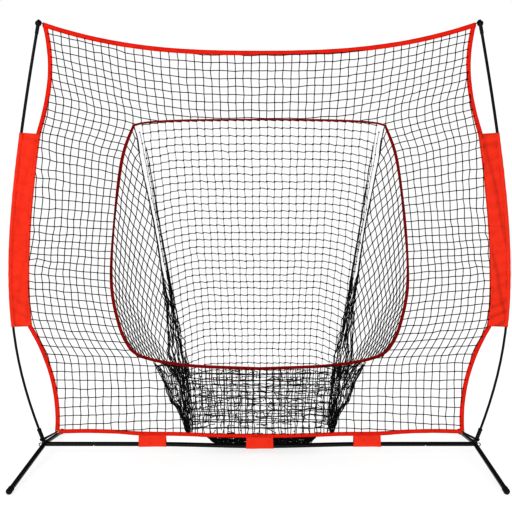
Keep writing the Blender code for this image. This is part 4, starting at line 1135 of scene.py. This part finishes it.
def hems():
    threads = Shape()
    reach = CORNER_X + HEM_WIDTH / 2
    xs = np.linspace(-reach, reach, 300)
    folded_hem("top_hem_cloth", np.column_stack((xs, top_hem_height(xs))), HEM_WIDTH, ("top_hem",), 101, threads, reach=reach - 0.001)
    half = np.concatenate((HEM_CURVE, [(LOW_CORNER[0] + BOTTOM_HEM_WIDTH / 2, LOW_CORNER[1])]))
    whole = np.concatenate((half[:0:-1] * (-1, 1), half))
    folded_hem("bottom_hem_cloth", whole[::-1], BOTTOM_HEM_WIDTH, ("bottom_hem",), 111, threads)
    for name, side in SIDES:
        upper = upper_side_curve(np.linspace(0.0, 1.0, 60))
        upper[0] += (0.003, 0.004)
        tuck = np.linspace(0.004, 0.020, 5)
        below = np.column_stack((pole_x(SLEEVE_HIGH - tuck) - SLEEVE_REACH + HEM_WIDTH / 2, SLEEVE_HIGH - tuck))
        upper = np.concatenate((upper, below))
        lower = lower_side_curve(np.linspace(0.0, 1.0, 60))
        lower[-1] += (0.0, -0.002)
        above = np.column_stack((pole_x(SLEEVE_LOW + tuck[::-1]) - SLEEVE_REACH + HEM_WIDTH / 2, SLEEVE_LOW + tuck[::-1]))
        lower = np.concatenate((above, lower))
        for part, run, seed in (("upper", upper, 121), ("lower", lower, 131)):
            run = run * (side, 1)
            run = run if side > 0 else run[::-1]
            folded_hem(f"{part}_side_hem_cloth_{name}", run, HEM_WIDTH, (f"{part}_side_hem_{name}",), seed + int(side), threads, lift=0.0022)
    return threads


def sleeves(threads):
    """Doubled cloth with a tunnel for the pole along its outer edge."""
    wall = 0.0011
    for name, side in SIDES:
        heights = np.linspace(SLEEVE_LOW - 0.001, SLEEVE_HIGH + 0.001, 190)
        slope = np.gradient(pole_x(heights), heights)
        lean = np.column_stack((np.ones(len(heights)), -slope))
        lean = unit(lean)
        angles = np.linspace(math.radians(168), -math.radians(168), 21)
        radius = SLEEVE_RADIUS - wall / 2
        around = np.column_stack((radius * np.cos(angles), radius * np.sin(angles)))
        flat_xs = -np.linspace(SLEEVE_REACH, 0.0105, 17)
        front = np.column_stack((flat_xs, np.full(len(flat_xs), 0.0013)))
        front[:2, 1] = (0.0008, 0.0010)
        section = np.concatenate((front, around, front[::-1] * (1, -1)))
        grid = np.empty((len(heights), len(section), 3))
        for k, (across, out) in enumerate(section):
            grid[:, k, 0] = side * (pole_x(heights) + lean[:, 0] * across)
            grid[:, k, 2] = heights + 0.45 * lean[:, 1] * across
            grid[:, k, 1] = PLANE_Y - out
        across = section[:, 0][None]
        loose = smoothstep(-SLEEVE_REACH, -SLEEVE_REACH + 0.02, across) * smoothstep(0.0, -0.022, across)
        place = grid[..., (0, 2)] * (side, 1)
        strong = 1.0 if side < 0 else 1.8
        ends = np.exp(-((place[..., 1] - SLEEVE_LOW) / 0.14) ** 2) + 0.55 * np.exp(-((place[..., 1] - SLEEVE_HIGH) / 0.10) ** 2)
        diagonal = np.sin((place @ (-48.0, 104.0 if side > 0 else 86.0)) + 1.4 * ripple(place, 0.09, 141))
        creases = np.sign(diagonal) * np.abs(diagonal) ** 0.6
        wave = 0.0016 * ripple(place, 0.07, 151 + int(side)) + strong * 0.0016 * creases * (0.28 + ends)
        cross_folds = 0.0011 * ripple(place * (0.25, 1.0), 0.022, 161 + int(side))
        seam = np.exp(-((place[..., 1] - 1.120 - 0.02 * side) / 0.0030) ** 2)
        facing = np.where(section[:, 1] > 0, -1.0, 1.0)[None]
        push = loose * (np.maximum(wave + cross_folds, -0.0006) - 0.0007 * seam)
        grid[..., 1] += facing * push
        dips = loose * (0.34 * np.maximum(-creases, 0) ** 2 * (0.20 + 0.9 * ends) * strong * 0.6)
        long_fold = np.sin(place @ (64.0, 17.0) + 0.9 * ripple(place, 0.20, 145))
        dips = dips + loose * (0.30 if side > 0 else 0.09) * np.maximum(long_fold, 0) ** 6 + 0.15 * loose * seam
        tunnel = smoothstep(-0.004, 0.006, across) * (0.16 if side > 0 else 0.10)
        hem_edge = 0.07 * np.exp(-(((across + 0.0125) / 0.0016) ** 2)) + 0.14 * smoothstep(-SLEEVE_REACH + 0.006, -SLEEVE_REACH, across)
        cuffs = 0.30 * (np.exp(-(((heights - SLEEVE_LOW) / 0.0035) ** 2)) + np.exp(-(((heights - SLEEVE_HIGH) / 0.0035) ** 2)))
        shade = np.clip(dips + tunnel + hem_edge + cuffs[:, None], 0, 1)
        hug = smoothstep(0.0, 0.004, across) * 0.00045 * ripple(place, 0.03, 171)
        grid[..., 0] += side * hug
        fold = np.exp(-((place[..., 1] - SLEEVE_LOW) / 0.010) ** 8) + np.exp(-((place[..., 1] - SLEEVE_HIGH) / 0.010) ** 8)
        shape = Shape()
        add_sheet(shape, grid, wall + 0.0007 * np.minimum(fold, 1.0), shade)
        piece(f"pole_sleeve_cloth_{name}", shape, OXFORD, (f"pole_sleeve_{name}",))
        for line in (-0.0125, -SLEEVE_REACH + 0.004, -SLEEVE_REACH + 0.016):
            for facing_y in (-1.0, 1.0):
                out = 0.0022
                seam_path = np.column_stack((
                    side * (pole_x(heights) + lean[:, 0] * line),
                    np.full(len(heights), PLANE_Y + facing_y * out),
                    heights + 0.45 * lean[:, 1] * line,
                ))
                add_stitches(threads, seam_path, np.tile((0.0, facing_y, 0.0), (len(heights), 1)), radius=0.0004)


def straps(threads):
    """Loops of cloth sewn to the bottom hem. Each goes round under the rail."""
    for name in ("left", "centre", "right"):
        low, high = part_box(f"rail_strap_{name}")
        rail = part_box("rail_tube_right")
        centre_x, half = (low.x + high.x) / 2, (high.x - low.x) / 2
        axis_z = low.z + 0.0129
        radius = 0.0122
        xs = np.linspace(-half, half, 34)
        hem_z = bottom_hem_height(centre_x + xs)
        grid = np.empty((len(xs), 41, 3))
        for i, x in enumerate(xs):
            top = hem_z[i] - 0.0045
            lean = math.acos(min((radius - 0.0016) / max(top - axis_z, 0.02), 1.0))
            start = math.pi - (math.pi / 2 - lean) * 0.0
            angles = np.linspace(math.radians(172), math.radians(368), 17)
            under = np.column_stack((radius * np.cos(angles), axis_z + radius * np.sin(angles)))
            rise = np.linspace(1, 0, 13)[:-1]
            front = np.column_stack((
                under[0, 0] + (-0.0026 - under[0, 0]) * rise**1.25,
                under[0, 1] + (top - under[0, 1]) * rise,
            ))
            back = (front * (-1, 1))[::-1]
            run = np.concatenate((front, under, back))
            flare = 1 + 0.022 * (1 - np.clip((run[:, 1] - low.z) / (top - low.z), 0, 1))
            grid[i, :, 0] = centre_x + x * flare
            grid[i, :, 1] = PLANE_Y + run[:, 0]
            grid[i, :, 2] = run[:, 1]
        place = np.stack((grid[..., 0], grid[..., 2] * 1.0), axis=-1)
        wave = 0.0011 * ripple(place * (0.5, 1.0), 0.018, 181) + 0.0009 * ripple(place, 0.05, 182)
        free = smoothstep(low.z + 0.004, low.z + 0.020, grid[..., 2]) * smoothstep(0.104, 0.088, grid[..., 2])
        facing = np.sign(grid[..., 1] - PLANE_Y)
        grid[..., 1] += facing * free * np.maximum(wave, -0.0006)
        sag = 0.0012 * ripple(place, 0.04, 183)
        grid[..., 2] += np.where(grid[..., 2] < low.z + 0.006, np.minimum(sag, 0.0), 0.0)
        shape = Shape()
        edge = np.minimum(np.exp(-(((np.abs(xs) - half) / 0.006) ** 4)), 1.0)[:, None]
        add_sheet(shape, grid, 0.0010 + 0.0006 * edge)
        piece(f"rail_strap_cloth_{name}", shape, OXFORD, (f"rail_strap_{name}",))
        for inset in (half - 0.005,):
            for end in (-1.0, 1.0):
                line = grid[np.argmin(np.abs(xs - end * inset)), 1:12]
                add_stitches(threads, line + (0, -0.0004, 0), np.tile((0.0, -1.0, 0.0), (len(line), 1)))
        across = grid[:, 1]
        add_stitches(threads, across + (0, -0.0006, 0.0), np.tile((0.0, -1.0, 0.0), (len(across), 1)))


def ribbon(threads):
    """Tape sewn round the strike zone. It lies flat along the bottom and turns edge-on along the top."""
    loop = mirrored(zone_half_loop(14))
    closed = np.concatenate((loop, loop[:1]))
    run = even(closed, 0.007)[:-1]
    count = len(run)
    tangent = unit(np.roll(run, -1, axis=0) - np.roll(run, 1, axis=0))
    inward = np.column_stack((tangent[:, 1], -tangent[:, 0]))
    z = run[:, 1]
    flat_side = ripple(np.column_stack((run[:, 0] * 0.4, run[:, 1])), 0.16, 191)
    top = smoothstep(1.60, 1.645, z)
    low = smoothstep(0.95, 0.62, z)
    turn = np.radians(52) * (1 - low) * (1 - top) * (0.95 + 0.55 * flat_side) + np.radians(64) * top * (1 + 0.18 * flat_side)
    turn = turn + np.radians(10) * low * flat_side
    across = np.linspace(-0.5, 0.5, 7) * RIBBON_WIDTH
    grid = np.empty((count + 1, len(across), 3))
    for k, u in enumerate(across):
        curl = 0.0007 * (2 * abs(u) / RIBBON_WIDTH) ** 2
        grid[:-1, k, 0] = run[:, 0] + inward[:, 0] * u * np.cos(turn)
        grid[:-1, k, 2] = run[:, 1] + inward[:, 1] * u * np.cos(turn)
        grid[:-1, k, 1] = PLANE_Y + u * np.sin(turn) - curl
    grid[..., 1] += np.concatenate((0.0008 * flat_side, [0.0]))[:, None]
    grid[-1] = grid[0]
    shape = Shape()
    add_sheet(shape, grid, 0.0017)
    return piece("pocket_ribbon_tape", shape, TAPE, ("pocket_ribbon",))


# Cords


def corner_cords():
    for name, side in SIDES:
        eye = middle(f"corner_grommet_{name}")
        low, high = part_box(f"corner_cord_{name}")
        hub = middle(f"corner_hub_{name}")
        run = POLE[5] - POLE[0]
        lean = unit(np.array((side * run[0], 0.0, run[1])))
        foot = np.array((side * POLE[0, 0], PLANE_Y, POLE[0, 1]))
        seat = foot + lean * 0.024
        inward = np.array((-side * lean[2], 0.0, side * lean[0]))
        shape = Shape()
        for strand, (lift, spread, start_turn, end_turn) in enumerate(((0.0, 0.0, 60, 262), (0.0060, 0.0018, 40, 255))):
            wrap = 0.0120
            turns = np.radians(np.linspace(start_turn, end_turn, 22))
            loop = seat + lean * lift + inward * wrap * np.cos(turns)[:, None] - np.array((0, 1.0, 0)) * (wrap * np.sin(turns))[:, None]
            grommet = np.array(eye)
            approach = [
                grommet + (-side * 0.0065, 0.0066, 0.0045 + spread),
                grommet + (-side * 0.0018, 0.0052, 0.0012 + spread),
                grommet + (side * 0.0002, 0.0, 0.0 + spread * 0.5),
                grommet + (side * 0.0020, -0.0052, -0.0006 + spread),
                grommet + (side * 0.0090, -0.0076, -0.0060 + spread),
            ]
            path = smooth_through(np.concatenate((approach, loop)), 3)
            add_tubes(shape, path[None], 0.0027, sides=9, reference=(0.05, 0.35, 1.0))
        piece(f"corner_cord_braid_{name}", shape, CORD, (f"corner_cord_{name}",))


def tip_cords():
    for name, side in SIDES:
        low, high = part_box(f"tip_cap_{name}")
        ball = np.array((low.x + TIP_RADIUS if side < 0 else high.x - TIP_RADIUS, PLANE_Y, high.z - TIP_RADIUS))
        corner = np.array((side * (CORNER_X + 0.004), PLANE_Y, top_hem_height(CORNER_X) + 0.002))
        shape = Shape()
        for facing in (-1.0, 1.0):
            start = corner + (0, facing * 0.0024, 0)
            reach = TIP_RADIUS + 0.0022
            over = np.radians(np.linspace(20, 86, 10))
            crest = [ball + (-side * reach * math.cos(a), facing * 0.0030 * math.cos(a) ** 0.5, reach * math.sin(a)) for a in over]
            path = smooth_through(np.array([start, (start + crest[0]) / 2 + (0, 0, -0.0006), *crest]), 3)
            add_tubes(shape, path[None], 0.0021, sides=8, reference=(0.05, 1.0, 0.2))
        piece(f"tip_cord_braid_{name}", shape, CORD, (f"tip_cord_{name}",))


# Studio


def studio():
    size = 60.0
    mesh = bpy.data.meshes.new("floor")
    mesh.from_pydata([(-size, -size, 0), (size, -size, 0), (size, size, 0), (-size, size, 0)], [], [(0, 1, 2, 3)])
    mesh.materials.append(floor_finish())
    floor = bpy.data.objects.new("floor", mesh)
    floor.location.z = -0.0002
    bpy.context.scene.collection.objects.link(floor)

    world = bpy.data.worlds.new("studio")
    world.use_nodes = True
    tree = world.node_tree
    background = tree.nodes["Background"]
    rays = tree.nodes.new("ShaderNodeLightPath")
    sky = tree.nodes.new("ShaderNodeTexCoord")
    split = tree.nodes.new("ShaderNodeSeparateXYZ")
    tree.links.new(sky.outputs["Generated"], split.inputs[0])

    def window(socket, points):
        """1 between the middle two points and 0 outside the outer two."""
        low, high = tree.nodes.new("ShaderNodeMapRange"), tree.nodes.new("ShaderNodeMapRange")
        both = tree.nodes.new("ShaderNodeMath")
        both.operation = "MULTIPLY"
        for made, first, last in ((low, points[0], points[1]), (high, points[3], points[2])):
            made.interpolation_type = "SMOOTHSTEP"
            tree.links.new(socket, made.inputs["Value"])
            made.inputs["From Min"].default_value = first
            made.inputs["From Max"].default_value = last
            tree.links.new(made.outputs["Result"], both.inputs[0 if made == low else 1])
        return both.outputs[0]

    # what the shiny parts see: a dim room with one softbox beside the camera
    box = tree.nodes.new("ShaderNodeMath")
    box.operation = "MULTIPLY"
    tree.links.new(window(split.outputs["X"], (-0.72, -0.60, 0.02, 0.30)), box.inputs[0])
    tree.links.new(window(split.outputs["Z"], (0.06, 0.18, 0.42, 0.56)), box.inputs[1])
    front = tree.nodes.new("ShaderNodeMath")
    front.operation = "LESS_THAN"
    tree.links.new(split.outputs["Y"], front.inputs[0])
    front.inputs[1].default_value = 0.0
    lit = tree.nodes.new("ShaderNodeMath")
    lit.operation = "MULTIPLY"
    tree.links.new(box.outputs[0], lit.inputs[0])
    tree.links.new(front.outputs[0], lit.inputs[1])

    def blend(share, first, second):
        made = tree.nodes.new("ShaderNodeMix")
        made.data_type = "RGBA"
        tree.links.new(share, made.inputs["Factor"])
        for socket, value in ((made.inputs[6], first), (made.inputs[7], second)):
            if isinstance(value, float):
                socket.default_value = (value, value, value, 1)
            else:
                tree.links.new(value, socket)
        return made.outputs[2]

    room = blend(lit.outputs[0], 0.018, 2.6)
    soft = blend(rays.outputs["Is Diffuse Ray"], 1.0, 0.72)
    tree.links.new(blend(rays.outputs["Is Glossy Ray"], soft, room), background.inputs["Color"])
    bpy.context.scene.world = world

    for name, place, power, width in (
        ("key", (-3.2, -4.0, 3.6), 62, 1.6),
        ("fill", (3.4, -3.6, 2.4), 12, 2.4),
        ("rim", (0.4, 4.2, 4.6), 20, 3.0),
    ):
        lamp = bpy.data.lights.new(name, "AREA")
        lamp.energy = power
        lamp.size = width
        lamp.specular_factor = 0.3
        made = bpy.data.objects.new(name, lamp)
        made.location = place
        made.rotation_euler = (Vector((0, 0, 1.0)) - Vector(place)).to_track_quat("-Z", "Y").to_euler()
        bpy.context.scene.collection.objects.link(made)
    bpy.context.scene.view_settings.view_transform = "Standard"
    bpy.context.scene.view_settings.gamma = 0.72


def camera():
    """The photograph's view: about 4 m in front of the net, at chest height, looking slightly down."""
    lens = bpy.data.cameras.new("camera")
    lens.lens, lens.sensor_width = 57.375, 36.0
    lens.shift_x = -0.0307
    made = bpy.data.objects.new("camera", lens)
    made.location = (0.06, PLANE_Y - 4.0, 1.296)
    made.rotation_euler = (math.radians(90 - 4.3), 0, 0)
    bpy.context.scene.collection.objects.link(made)
    bpy.context.scene.camera = made


dress_frame()
front_net()
pocket()
sewing = hems()
sleeves(sewing)
straps(sewing)
ribbon(sewing)
piece("seam_stitches", sewing, THREAD)
corner_cords()
tip_cords()
studio()
camera()
